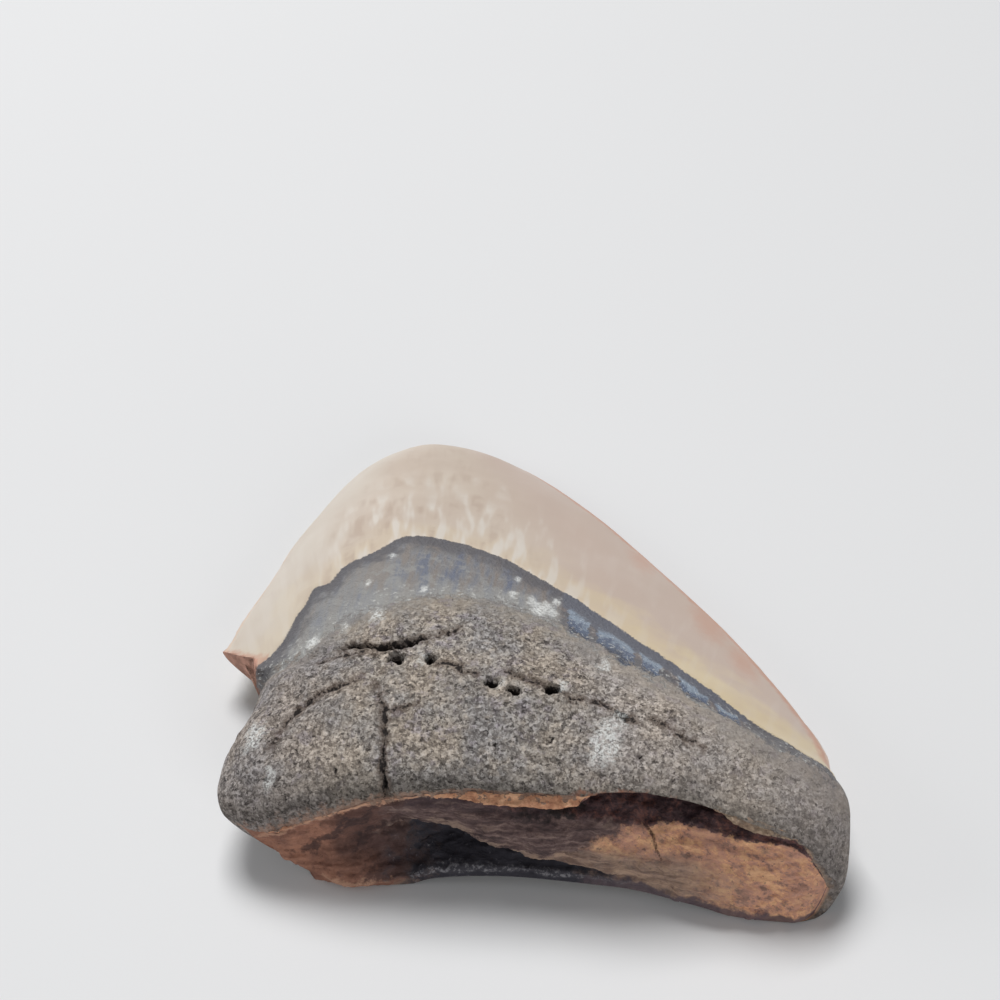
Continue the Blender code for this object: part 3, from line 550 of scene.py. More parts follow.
def lingual_face(t, s):
    """Points of the domed face with its relief, and the marks that its material reads."""
    points = lingual(t, s)
    out = grid_normals(points, UP)
    coarse, fine = small_noise(points, *COARSE_TEAR), small_noise(points, *FINE_TEAR)
    past_crust = beyond(points + coarse * CRUST_TEAR[0] + fine * CRUST_TEAR[1], CRUST_LINE)
    past_enamel = beyond(points + coarse * ENAMEL_TEAR[0] + fine * ENAMEL_TEAR[1], ENAMEL_LINE)
    crust = step(0.5 - past_crust / CRUST_BLEND)
    enamel = step(0.5 + past_enamel / ENAMEL_BLEND)

    edge_room = rise(1 - np.abs(s), SIDE_EASE) * rise(t, LIP_EASE)
    height = lump_height(points, t, s) + edge_room * coat_height(points, coarse, crust, enamel)
    crack, cut = crack_gap(points + fine * CRACK_TEAR)
    height -= cut * rise(t, CRACK_EASE)
    pored = points + fine * PORE_TEAR
    for pore in PORES:
        height -= pore[3] * step(0.5 - spot_gap(pored, [pore]) / CRACK_WALL)
    worn = lip_wear(s) * step(1 - t / LIP_WEAR_REACH)[..., None]
    points = worn_edges(points + out * height[..., None] + worn, t, s)
    points, past_chip = chipped(points)
    marks = {
        "past_crust": marked(past_crust),
        "past_enamel": marked(past_enamel, ENAMEL_FAR),
        "core": step(past_chip / CHIP_RIM),
        "crack": marked(crack),
        "pore": marked(spot_gap(pored, PORES)),
        "salt": marked(spot_gap(points, SALT_SPOTS, SALT_LENGTH)),
        "blush": marked(spot_gap(points, BLUSHES, BLUSH_LENGTH)),
        "from_chip": chip_gap(points),
        "pane": pane_gap(points),
        "inset": edge_inset(t, s),
    }
    return points, marks


def lip_wear(s):
    """Small dips of wear along the lip, as a move of its points."""
    place = np.stack([s * HALF_WIDTH, np.zeros_like(s), np.zeros_like(s)], axis=-1)
    dip = sum(depth * field(place, size, octaves, shift) for size, depth, octaves, shift in LIP_DIPS)
    dip = dip * np.clip((1 - np.abs(s)) / LIP_WEAR_FADE, 0, 1)
    return dip[..., None] * np.array(LIP_WEAR_WAY)


def edge_inset(t, s):
    """Distance in from the cutting edges of the crown, far on the root."""
    half_width = np.abs(smooth(RIGHT_EDGE, t) - smooth(LEFT_EDGE, t)) / 2
    return np.minimum((1 - np.abs(s)) * half_width + FAR * step((EDGE_START - t) / EDGE_BLEND), FAR)


def worn_edges(points, t, s):
    """Small notches of wear along the cutting edges of the crown."""
    middle = points.mean(axis=1, keepdims=True)
    inward = middle - points
    inward[..., 2] = 0
    inward /= np.maximum(np.linalg.norm(inward, axis=-1, keepdims=True), 1e-9)
    edge_points = np.where(s[..., None] < 0, points[:, :1], points[:, -1:])
    bite = sum(
        depth * np.maximum(field(edge_points, size, octaves, shift), 0)
        for size, depth, octaves, shift in NOTCHES
    )
    near = step(1 - (1 - np.abs(s)) / NOTCH_REACH) * step((t - NOTCH_START) / NOTCH_BLEND)
    near = near * step((1 - t) / NOTCH_REACH)
    return points + inward * (bite * near)[..., None]


def labial_face(t, s):
    """Points of the flat face that the tooth lies on, and its marks."""
    points = labial(t, s)
    noise_size, noise_reach = LABIAL_BORDER_NOISE
    border = LABIAL_BORDER[0] + LABIAL_BORDER[1] * (1 - s**2) + noise_reach * field(points, noise_size)
    past_enamel = (t - border) * (TIP_Y - points[0, 0, 1])
    enamel = step(0.5 + past_enamel / ENAMEL_BLEND)
    inside = rise(1 - np.abs(s), LABIAL_EASE[0]) * rise(t, LABIAL_EASE[1]) * rise(1 - t, LABIAL_EASE[1])
    lifted = step(points[..., 2] / LABIAL_LIFT)
    grain = LABIAL_LUMPS[1] * field(points, LABIAL_LUMPS[0])
    grain += LABIAL_GRAIN[1] * field(points, LABIAL_GRAIN[0], 2)
    folds = FOLD_HEIGHT * np.sin(s * FOLD_PITCH) * np.exp(-((past_enamel / FOLD_LENGTH) ** 2)) * enamel
    points[..., 2] += inside * lifted * ((1 - enamel) * (grain + ENAMEL_STEP) + folds)
    clearance = BASE_CLEARANCE * step(1 - t / BASE_CLEARANCE_REACH)
    points[..., 2] = np.maximum(points[..., 2], clearance)
    points, past_chip = chipped(points)
    marks = {
        "past_crust": marked(past_enamel + LABIAL_BAND),
        "past_enamel": marked(past_enamel, ENAMEL_FAR),
        "core": step(past_chip / CHIP_RIM),
        "from_chip": chip_gap(points),
        "inset": edge_inset(t, s),
    }
    return points, marks


def base_room(v, s, ease):
    """Room for relief on the broken base: 0 on its borders, 1 inside."""
    return rise(v * (1 - v), ease[0]) * rise(1 - np.abs(s), ease[1])


def base_shape(v, s):
    """The broken face between lip and base edge, with its recess, ledge, shelf and hollow."""
    start = np.zeros_like(s)
    high, low = lingual(start, s), labial(start, s)
    points = high + (low - high) * v[..., None]
    out = sum(
        height * np.exp(-(((s - at_s) / half_s) ** 2) - ((v - at_v) / half_v) ** 2)
        for at_s, at_v, half_s, half_v, height in BASE_FORMS
    )
    hollow = step((v - smooth(HOLLOW, s)) / HOLLOW_SOFTNESS) * step((HOLLOW_FLOOR - v) / HOLLOW_SOFTNESS)
    recess = step((v - smooth(LEDGE, s)) / RECESS_ROOF_SOFTNESS)
    recess = recess * step((smooth(RECESS, s) - v) / RECESS_FLOOR_SOFTNESS)
    ledge = step((smooth(LEDGE, s) - v) / LEDGE_SOFTNESS + 0.5)
    out += smooth(LEDGE, s, 2) * ledge - smooth(HOLLOW, s, 2) * hollow - smooth(RECESS, s, 2) * recess
    points[..., 1] -= out * base_room(v, s, BASE_EASE)
    return points


def base_face(v, s):
    """Points of the broken base with its layers and grain, and its marks."""
    points = base_shape(v, s)
    out = grid_normals(points, FRONT)
    rough = field(points, CORE_TEAR[0]) * CORE_TEAR[1]
    height = sum(grain_height * field(points, size, 2, CORE_SHIFT) for size, grain_height in CORE_GRAINS)
    height += LAYERS[1] * field(points / np.array(LAYERS[0]), 1.0, 3, LAYER_SHIFT)
    flat = np.stack([s * HALF_WIDTH + rough, v * BASE_DROP, np.zeros_like(s)], axis=-1)
    slit = stroke_gap(flat, [SLAB_CRACK])
    height -= SLAB_CRACK_DEPTH * step(0.5 - slit / CRACK_WALL)
    worn = lip_wear(s) * step(1 - v / LIP_WEAR_DEPTH)[..., None]
    points = points + out * (height * base_room(v, s, CORE_EASE))[..., None] + worn
    points[..., 2] = np.maximum(points[..., 2], BASE_CLEARANCE)
    marks = {
        "past_crust": np.full_like(s, -FAR),
        "past_enamel": np.full_like(s, -FAR),
        "core": np.ones_like(s),
        "slit": slit,
        "stain": stroke_gap(flat, DARK_BANDS),
        "seam": stroke_gap(flat, PALE_SEAMS),
        "past_slab": marked((v - smooth(RECESS, s)) * BASE_DROP),
        "past_ledge": marked((v - smooth(LEDGE, s)) * BASE_DROP),
        "past_shelf": marked((v - smooth(HOLLOW, s)) * BASE_DROP),
    }
    return points, marks


def cells(grid, flip, stride=1):
    """Faces of an index grid; with a stride, midpoints are used where the grid has them (>= 0)."""
    faces = []
    rows, columns = grid.shape
    for i in range(0, rows - 1, stride):
        for j in range(0, columns - 1, stride):
            walk = [grid[i, j + k] for k in range(stride)]
            walk += [grid[i + k, j + stride] for k in range(stride)]
            walk += [grid[i + stride, j + stride - k] for k in range(stride)]
            walk += [grid[i + stride - k, j] for k in range(stride)]
            ring = []
            for index in walk:
                if index >= 0 and index not in ring:
                    ring.append(int(index))
            if len(ring) > 2:
                faces.append(ring[::-1] if flip else ring)
    return faces


def drawing_offset():
    """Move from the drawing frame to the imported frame, from the solid's right side and tip."""
    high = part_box("tooth")[1]
    right = max(knot[1] for knot in RIGHT_EDGE) * MM
    tip = RIGHT_EDGE[-1][2] * MM
    return np.array([high[0] - right, high[1] - tip, 0.0])


def numbered(face, first):
    """Vertex numbers on a face's grid, counted on from the first."""
    rows, columns = face.shape[:2]
    return first + np.arange(rows * columns).reshape(rows, columns)


def index_grids(top, base, bottom):
    """Vertex numbers on the grids of the three faces, which share those along their borders."""
    top_grid = numbered(top, 0)
    base_grid = numbered(base, top_grid.size)
    whole = numbered(bottom, top_grid.size + base_grid.size)
    top_grid[-1] = top_grid[-1, 0]
    base_grid[0] = top_grid[0]
    base_grid[:, 0] = top_grid[0, 0]
    base_grid[:, -1] = top_grid[0, -1]
    bottom_grid = np.full_like(whole, -1)
    bottom_grid[::LABIAL_STRIDE, ::LABIAL_STRIDE] = whole[::LABIAL_STRIDE, ::LABIAL_STRIDE]
    bottom_grid[0] = base_grid[-1]
    bottom_grid[:, 0] = top_grid[:, 0]
    bottom_grid[:, -1] = top_grid[:, -1]
    bottom_grid[-1] = top_grid[-1, 0]
    return top_grid, base_grid, bottom_grid


def add_attribute(mesh, name, kind, values):
    """Values that the mesh carries for its material."""
    layer = mesh.attributes.new(name, kind, "POINT")
    field_name = "vector" if kind == "FLOAT_VECTOR" else "value"
    layer.data.foreach_set(field_name, values.astype(np.float32).reshape(-1))


def tooth_piece(offset):
    """The whole tooth as one closed fine mesh with its marks as attributes."""
    columns = column_places()
    t, s = np.meshgrid(row_places(), columns, indexing="ij")
    v = base_places(columns)
    base_s = np.broadcast_to(columns, v.shape)
    parts = (lingual_face(t, s), base_face(v, base_s), labial_face(t, s))
    top_grid, base_grid, bottom_grid = index_grids(*[face for face, _ in parts])
    faces = cells(top_grid, flip=False) + cells(base_grid, flip=True)
    faces += cells(bottom_grid, flip=True, stride=LABIAL_STRIDE)

    points = np.concatenate([face.reshape(-1, 3) for face, _ in parts]) * MM + offset
    used = np.zeros(len(points), dtype=bool)
    used[[index for face in faces for index in face]] = True
    renumber = np.cumsum(used) - 1
    faces = [[int(renumber[index]) for index in face] for face in faces]
    mesh = bpy.data.meshes.new("tooth_surface")
    mesh.from_pydata(points[used].tolist(), [], faces)

    for name in sorted({name for _, marks in parts for name in marks}):
        values = [marks.get(name, np.full(face.shape[:2], FAR)).reshape(-1) for face, marks in parts]
        add_attribute(mesh, name, "FLOAT", np.concatenate(values)[used])
    places = [
        np.stack([across, along, np.zeros_like(along)], axis=-1).reshape(-1, 3)
        for across, along in ((s, t), (base_s, -v), (s, t))
    ]
    add_attribute(mesh, "place", "FLOAT_VECTOR", np.concatenate(places)[used])
    mesh.update()
    mesh.validate()
    mesh.shade_smooth()
    mesh.set_sharp_from_angle(angle=SHARP_ANGLE)
    return add_item("tooth_surface", mesh)


# ---------------------------------------------------------------- materials


class Nodes:
    """Short calls that add shader nodes to one material."""

    def __init__(self, name):
        self.material = bpy.data.materials.new(name)
        self.material.use_nodes = True
        self.tree = self.material.node_tree
        self.shader = self.tree.nodes["Principled BSDF"]

    def add(self, kind, **inputs):
        """A node of that kind, with its inputs linked to sockets or set to values."""
        node = self.tree.nodes.new(kind)
        for name, value in inputs.items():
            self.join(value, node.inputs[name])
        return node

    def join(self, value, socket):
        """Link a socket, or set a value."""
        if isinstance(value, bpy.types.NodeSocket):
            self.tree.links.new(value, socket)
        elif socket.type == "RGBA":
            socket.default_value = (*value, 1.0)
        else:
            socket.default_value = value

    def mark(self, name, output="Fac"):
        """A mark that the mesh carries."""
        node = self.add("ShaderNodeAttribute")
        node.attribute_name = name
        return node.outputs[output]

    def math(self, operation, *values):
        """Result of an operation on numbers."""
        return self.operate("ShaderNodeMath", operation, values)

    def vector(self, operation, *values):
        """Result of an operation on vectors."""
        return self.operate("ShaderNodeVectorMath", operation, values)

    def operate(self, kind, operation, values):
        """Result of a math node of that kind."""
        node = self.add(kind)
        node.operation = operation
        for value, socket in zip(values, node.inputs):
            self.join(value, socket)
        return node.outputs[0]

    def times(self, *values):
        """Product of several numbers."""
        product = values[0]
        for value in values[1:]:
            product = self.math("MULTIPLY", product, value)
        return product

    def spread(self, value, low, high, to_low=0.0, to_high=1.0):
        """A value between low and high, spread smoothly over another range."""
        node = self.add("ShaderNodeMapRange")
        node.interpolation_type = "SMOOTHSTEP"
        for socket, number in zip(node.inputs, (value, low, high, to_low, to_high)):
            self.join(number, socket)
        return node.outputs["Result"]

    def between(self, value, start, full, fade, end):
        """1 where a value lies between full and fade, and 0 before start and past end."""
        return self.times(self.spread(value, start, full), self.spread(value, end, fade))

    def torn(self, distance, noise, reach):
        """A distance moved to and fro by noise, that far in its own units."""
        return self.math("ADD", distance, self.spread(noise, 0.25, 0.75, -reach, reach))

    def blend(self, factor, first, second):
        """Two numbers mixed."""
        node = self.add("ShaderNodeMix")
        node.data_type = "FLOAT"
        self.join(factor, node.inputs[0])
        self.join(first, node.inputs[2])
        self.join(second, node.inputs[3])
        return node.outputs[0]

    def mix(self, factor, first, second, blend="MIX"):
        """Two colours mixed."""
        node = self.add("ShaderNodeMix")
        node.data_type = "RGBA"
        node.blend_type = blend
        self.join(factor, node.inputs[0])
        self.join(first, node.inputs[6])
        self.join(second, node.inputs[7])
        return node.outputs[2]

    def over(self, colour, paint, value, low, high, share=1.0):
        """Paint over a colour: none where a value is at low, and that share of it at high."""
        return self.mix(self.spread(value, low, high, 0.0, share), colour, paint)

    def ramp(self, value, *stops):
        """Colour of a value, between stops (value, colour)."""
        node = self.add("ShaderNodeValToRGB", Fac=value)
        elements = node.color_ramp.elements
        elements[0].position, elements[1].position = stops[0][0], stops[-1][0]
        for position, _ in stops[1:-1]:
            elements.new(position)
        for element, (_, colour) in zip(elements, stops):
            element.color = (*colour, 1.0)
        return node.outputs["Color"]

    def noise(self, place, size, detail, roughness, distortion=0.0):
        """Noise with lumps of that size in millimetres."""
        node = self.add("ShaderNodeTexNoise", Vector=place, Scale=1.0 / (size * MM), Detail=detail)
        node.inputs["Roughness"].default_value = roughness
        node.inputs["Distortion"].default_value = distortion
        return node.outputs["Fac"]

    def grains(self, place, size):
        """A random level in each grain of that size in millimetres, with uneven borders."""
        scale = 1.0 / (size * MM)
        wobble = self.add("ShaderNodeTexNoise", Vector=place, Scale=scale, Detail=2.0)
        centred = self.vector("SUBTRACT", wobble.outputs["Color"], grey(0.5))
        moved = self.vector("MULTIPLY_ADD", centred, grey(GRAIN_WOBBLE * size * MM), place)
        node = self.add("ShaderNodeTexVoronoi", Vector=moved, Scale=scale)
        return self.add("ShaderNodeSeparateColor", Color=node.outputs["Color"]).outputs["Red"]

    def stretched(self, place, scale):
        """Coordinates scaled on each axis."""
        return self.add("ShaderNodeMapping", Vector=place, Scale=scale).outputs[0]

    def turned(self, place, angle):
        """Coordinates turned about the Y axis."""
        node = self.add("ShaderNodeVectorRotate", Vector=place, Angle=angle)
        node.rotation_type = "Y_AXIS"
        return node.outputs[0]


def linear(red, green, blue):
    """A colour given as 8-bit sRGB, in linear light."""
    parts = [channel / 255 for channel in (red, green, blue)]
    return tuple(part / 12.92 if part <= 0.04045 else ((part + 0.055) / 1.055) ** 2.4 for part in parts)


def grey(value):
    """Three equal numbers."""
    return (value, value, value)


CRUST_COOL, CRUST_MIDDLE, CRUST_WARM = linear(143, 139, 136), linear(151, 144, 136), linear(162, 151, 138)
CRUST_PURPLE, CRUST_TAN, CRUST_LIP_SHADE = linear(136, 128, 133), linear(166, 154, 140), linear(98, 92, 84)
CRUST_END_GREY, CRUST_LIGHT = linear(132, 125, 124), linear(178, 167, 158)
SAND = (  # (level of a grain, what it multiplies the cement's colour by)
    (0.36, (0.20, 0.19, 0.19)), (0.43, (0.52, 0.50, 0.50)), (0.49, (0.88, 0.87, 0.87)),
    (0.55, (1.28, 1.28, 1.30)), (0.63, (1.95, 1.98, 2.04)), (0.72, (2.5, 2.56, 2.66)),
)
CAVITY_SHADE, SLIT, CRACK_BROWN = linear(34, 28, 27), linear(58, 38, 32), linear(92, 75, 64)
LIP_BROWN, LIP_TAN, LIP_PALE = linear(124, 102, 86), linear(166, 142, 120), linear(194, 172, 148)
LIP_RED, CHIP_TAN = linear(150, 104, 84), linear(214, 164, 144)
BAND_BLUE, BAND_GREY, BAND_BROWN = linear(110, 115, 130), linear(130, 129, 131), linear(134, 125, 119)
BAND_DARK_AND_SHADE, BAND_PALE, BAND_SLATE = linear(96, 94, 98), linear(158, 157, 154), linear(104, 106, 116)
BAND_GAP, SPECK = linear(122, 112, 110), linear(212, 212, 208)
GLASS_DARK, GLASS_BLUE, GLASS_HIGHLIGHT = linear(60, 70, 88), linear(92, 106, 130), linear(150, 164, 180)
ENAMEL_CREAM, ENAMEL_BEIGE = linear(210, 196, 181), linear(201, 185, 170)
ENAMEL_PINK, ENAMEL_PLAIN = linear(200, 180, 167), linear(212, 203, 191)
ENAMEL_YELLOW, ENAMEL_BROWN = linear(218, 200, 166), linear(186, 166, 150)
ENAMEL_WHITE = linear(219, 211, 201)
EDGE_ORANGE, EDGE_HIGHLIGHT = linear(199, 148, 124), linear(220, 196, 176)
SHELF_DARK, SHELF_MIDDLE, SHELF_PALE = linear(66, 52, 52), linear(98, 78, 76), linear(136, 114, 106)
SLAB_GREY, SLAB_PINK = linear(146, 114, 100), linear(194, 146, 126)
SLAB_ORANGE, SLAB_YELLOW = linear(208, 152, 120), linear(230, 180, 138)
LINE_DARK, LINE_GREY, LINE_PALE = linear(96, 82, 76), linear(134, 116, 104), linear(168, 144, 126)
LOBE_BROWN, LOBE_RUST = linear(128, 90, 76), linear(168, 120, 98)
LOBE_DARK, LOBE_PURPLE = linear(62, 45, 44), linear(94, 68, 64)
RECESS_SHADE, RECESS_PURPLE, RECESS_RED = linear(66, 50, 54), linear(96, 74, 76), linear(134, 94, 86)
HOLLOW_BLACK_AND_SHADE, HOLLOW_DUST, FOOT_SHADE = linear(54, 52, 60), linear(128, 126, 130), linear(84, 74, 84)
LEDGE_BROWN, LEDGE_ORANGE, LEDGE_PALE = linear(176, 122, 94), linear(208, 152, 118), linear(226, 178, 142)
SEAM, SALT = linear(190, 148, 124), linear(236, 237, 234)
GRAIN_PALE, GRAIN_DARK = grey(1.5), linear(58, 44, 42)
PAPER = ((0.765, 0.767, 0.772), (0.78, 0.782, 0.787))

FAN_REACH = 150.0  # the enamel's streaks fan out from this far behind the middle of the tooth
FAN_SCALE = (55.0, 65.0, 0.0)  # lumps of the streaks per unit across and along the fan
FAN_UNIT = 1 / MM  # size that stands for one unit of the fan, as noise takes millimetres
STRIPE_STRETCH = (1.0, 0.20, 0.0)  # of the bourrelet's stripes
LAYER_STRETCH = (0.20, 0.55, 1.0)  # of the broken base's layers
FACET_STRETCH = (0.50, 1.0, 1.0)  # of the slab's facets
SLAB_TILT = math.radians(-25.0)  # slope of the slab's facets
SLAB_START, SLAB_SLANT = 0.60, 0.90  # where the slab begins, and how much its left end slants
GRAIN_SIZE, GRAIN_WOBBLE = 0.46, 2.2  # sand grains, and how uneven their borders are
CRUST_ROUGHNESS, CORE_ROUGHNESS, PANE_ROUGHNESS, PAPER_ROUGHNESS = 0.88, 0.82, 0.16, 0.7
ENAMEL_ROUGHNESS, BAND_ROUGHNESS = (0.34, 0.46), (0.45, 0.60)  # (lowest, highest)
BUMP_STRENGTH, BUMP_DISTANCE = 0.9, 0.6  # the distance in millimetres
SPECULAR = 0.4


class Surface:
    """Coordinates, marks and noises of the tooth that several looks read.

    "across" is s and "along" is t, or -v on the broken base.
    """

    def __init__(self, n):
        self.n = n
        self.object = n.add("ShaderNodeTexCoord").outputs["Object"]
        split = n.add("ShaderNodeSeparateXYZ", Vector=n.mark("place", "Vector"))
        self.across, self.along = split.outputs["X"], split.outputs["Y"]
        self.sand = self.noise(0.48, 3.0, 0.65)
        self.rough = self.noise(1.5, 3.0, 0.6)
        self.past_enamel = n.torn(n.mark("past_enamel"), self.sand, 0.12)
        self.past_crust = n.mark("past_crust")
        split = n.add("ShaderNodeSeparateXYZ", Vector=self.object)
        x, y = split.outputs["X"], split.outputs["Y"]
        fan = n.math("DIVIDE", x, n.math("ADD", y, FAN_REACH * MM))
        self.fan = n.add("ShaderNodeCombineXYZ", X=fan, Y=y).outputs["Vector"]

    def noise(self, size, detail, roughness):
        """Noise on the tooth, with lumps of that size in millimetres."""
        return self.n.noise(self.object, size, detail, roughness)

    def torn(self, distance, rough, sand=0.0):
        """A distance moved to and fro that far by the rough noise, and that far by the sandy one."""
        distance = self.n.torn(distance, self.rough, rough)
        return self.n.torn(distance, self.sand, sand) if sand else distance


def crust_look(n, surface):
    """Sandstone-like crust: pale and dark grains in grey-brown cement, with small pits painted dark as
    shade.
    """
    across, along = surface.across, surface.along
    # Cement: lighter on the right, darkened at the lip as painted shade, grey at both ends of the root.
    drift = surface.noise(9.0, 4.0, 0.65)
    tint = surface.noise(2.6, 3.0, 0.65)
    base = n.ramp(drift, (0.38, CRUST_COOL), (0.50, CRUST_MIDDLE), (0.62, CRUST_WARM))
    base = n.over(base, CRUST_PURPLE, tint, 0.54, 0.66, 0.55)
    base = n.over(base, CRUST_TAN, tint, 0.46, 0.34, 0.45)
    base = n.over(base, CRUST_LIGHT, across, 0.0, 0.3, 0.40)
    # Painted shade where the lip turns down and away from the light.
    base = n.over(base, CRUST_LIP_SHADE, along, 0.105, 0.0, 0.90)
    ends = n.math("MAXIMUM", n.spread(across, -0.50, -0.85), n.spread(across, 0.62, 0.90))
    base = n.mix(n.times(ends, 0.40), base, CRUST_END_GREY)
    # Grains: calmer on the right and where the crust runs out on the bourrelet.
    contrast = n.times(
        n.spread(surface.past_crust, -1.0, -7.0, 0.30, 1.0), n.spread(across, 0.10, 0.85, 1.0, 0.68)
    )
    coarse = n.blend(0.40, surface.noise(0.36, 3.0, 0.7), surface.noise(0.85, 3.0, 0.65))
    single = n.spread(n.grains(surface.object, GRAIN_SIZE), 0.0, 1.0, 0.34, 0.68)
    grains = n.blend(0.42, coarse, single)
    colour = n.mix(contrast, base, n.mix(1.0, base, n.ramp(grains, *SAND), "MULTIPLY"))
    holes = n.spread(surface.noise(1.15, 2.0, 0.6), 0.385, 0.32)
    # Painted shade inside the small pits.
    colour = n.mix(n.times(holes, contrast, 0.62), colour, CAVITY_SHADE)
    # Lip: a fringe in the colour of the broken base, and red shreds above the recess.
    border = surface.torn(along, 0.012, 0.006)
    fringe = n.mix(n.spread(across, 0.26, 0.34), SEAM, LIP_TAN)
    colour = n.over(colour, fringe, border, 0.016, -0.004, 0.45)
    shreds = n.times(n.between(across, 0.08, 0.16, 0.40, 0.50), n.spread(tint, 0.44, 0.51))
    shreds = n.times(shreds, n.spread(border, 0.038, 0.018, 0.0, 0.85))
    colour = n.mix(shreds, colour, LIP_RED)
    return colour, CRUST_ROUGHNESS, n.math("SUBTRACT", grains, n.times(holes, 0.35))


def band_look(n, surface):
    """Bourrelet: grey dentine under thin glaze, faintly striped blue and brown, with glassy panes that
    carry a painted highlight.
    """
    stripes = n.noise(n.stretched(surface.object, STRIPE_STRETCH), 2.4, 3.0, 0.55)
    patches = surface.noise(3.0, 4.0, 0.65)
    speckle = surface.noise(0.8, 3.0, 0.7)
    # Dentine: pale at its foot, darker along the enamel, partly its own colour and partly painted shade
    # under the enamel's step.
    base = n.ramp(stripes, (0.38, BAND_BLUE), (0.48, BAND_GREY), (0.60, BAND_BROWN))
    base = n.over(base, BAND_PALE, patches, 0.50, 0.62, 0.60)
    base = n.over(base, BAND_PALE, surface.across, -0.25, -0.70, 0.45)
    foot = surface.torn(surface.past_crust, 1.5)
    base = n.over(base, BAND_PALE, foot, 6.5, 1.0, 0.70)
    # Partly dark dentine, partly painted shade below the raised enamel.
    base = n.over(base, BAND_DARK_AND_SHADE, n.torn(surface.past_enamel, patches, 2.0), -5.6, -1.4, 0.90)
    # Panes on the right, from 0 at the crust to 1 at the enamel, with darker gaps.
    width = n.math("SUBTRACT", surface.past_crust, surface.past_enamel)
    high = surface.torn(n.math("DIVIDE", surface.past_crust, width), 0.05)
    paned = n.times(n.spread(n.mark("pane"), 2.2, 0.8), n.spread(high, 0.0, 0.12))
    gap = n.mix(n.spread(patches, 0.42, 0.58), BAND_GAP, BAND_DARK_AND_SHADE)
    base = n.mix(n.times(paned, 0.85), base, n.mix(n.spread(high, 0.50, 0.62), gap, BAND_SLATE))
    pane = n.spread(surface.torn(n.mark("pane"), 0.5), 0.15, -0.35)
    pane = n.times(pane, n.between(high, 0.02, 0.12, 0.56, 0.70))
    shine = n.torn(high, patches, 0.10)
    # Glassy panes: dark at the foot, then blue, then a painted highlight towards the enamel.
    glass = n.ramp(shine, (0.12, GLASS_DARK), (0.28, GLASS_BLUE), (0.38, GLASS_BLUE), (0.50, GLASS_HIGHLIGHT))
    colour = n.mix(n.times(pane, 0.85), base, glass)
    # Pale dust near the crust, and dark specks everywhere.
    dusty = n.times(n.spread(speckle, 0.56, 0.66), n.spread(foot, 6.0, 1.5))
    colour = n.mix(n.times(dusty, 0.70), colour, SPECK)
    colour = n.over(colour, BAND_DARK_AND_SHADE, speckle, 0.42, 0.30, 0.30)
    roughness = n.blend(pane, n.spread(patches, 0.3, 0.7, *BAND_ROUGHNESS), PANE_ROUGHNESS)
    return colour, roughness, n.times(n.spread(speckle, 0.3, 0.7), 0.25)


def enamel_look(n, surface):
    """Cream enamel: soft pale and brown streaks rise from the bourrelet, pinker on the right."""
    across = surface.across
    streaks = n.noise(n.stretched(surface.fan, FAN_SCALE), FAN_UNIT, 2.0, 0.5)
    gaps = surface.noise(7.0, 3.0, 0.5)
    cloud = surface.noise(15.0, 3.0, 0.5)
    base = n.ramp(cloud, (0.36, ENAMEL_CREAM), (0.62, ENAMEL_BEIGE))
    base = n.over(base, ENAMEL_PINK, across, -0.10, 0.55, 0.90)
    base = n.over(base, ENAMEL_PLAIN, across, -0.55, -0.90, 0.70)
    # Yellow glow beside the bourrelet, strongest on the right.
    glow = n.spread(n.torn(surface.past_enamel, gaps, 3.0), 10.0, 1.0)
    glow = n.times(glow, n.blend(n.spread(across, 0.10, 0.55), 0.30, 0.90))
    base = n.mix(glow, base, ENAMEL_YELLOW)
    # Streaks: brown ones between, pale ones on top, fading out towards the tip and both sides.
    faded = n.spread(n.torn(surface.past_enamel, gaps, 9.0), 7.0, 34.0)
    reach = n.times(n.math("SUBTRACT", 1.0, faded), n.spread(across, 0.50, 0.05, 0.15, 1.0))
    plain = n.spread(across, -0.85, -0.60, 0.25, 1.0)
    brown = n.times(n.spread(streaks, 0.52, 0.36), n.spread(gaps, 0.62, 0.44), n.blend(faded, 1.0, 0.35))
    brown = n.times(brown, plain, n.spread(across, 0.25, -0.05, 0.05, 0.70))
    base = n.mix(brown, base, ENAMEL_BROWN)
    base = n.mix(n.times(reach, plain, n.spread(streaks, 0.49, 0.64), 0.90), base, ENAMEL_WHITE)
    # Cutting edges and chip: orange, with a painted highlight along the very edge.
    inset = surface.torn(n.mark("inset"), 0.5)
    blush = n.spread(surface.torn(n.mark("blush"), 0.5), 2.8, -1.2, 0.0, 0.50)
    rim = n.math("MAXIMUM", n.spread(inset, 3.2, 1.3, 0.0, 0.85), blush)
    base = n.mix(n.times(rim, n.spread(across, -0.1, 0.3)), base, EDGE_ORANGE)
    base = n.over(base, EDGE_ORANGE, surface.torn(n.mark("from_chip"), 0.5), 1.8, 0.2, 0.6)
    # Painted highlight on the outermost strip of the cutting edges.
    colour = n.over(base, EDGE_HIGHLIGHT, inset, 0.9, 0.4, 0.70)
    return colour, n.spread(cloud, 0.3, 0.7, *ENAMEL_ROUGHNESS), n.times(gaps, 0.05)


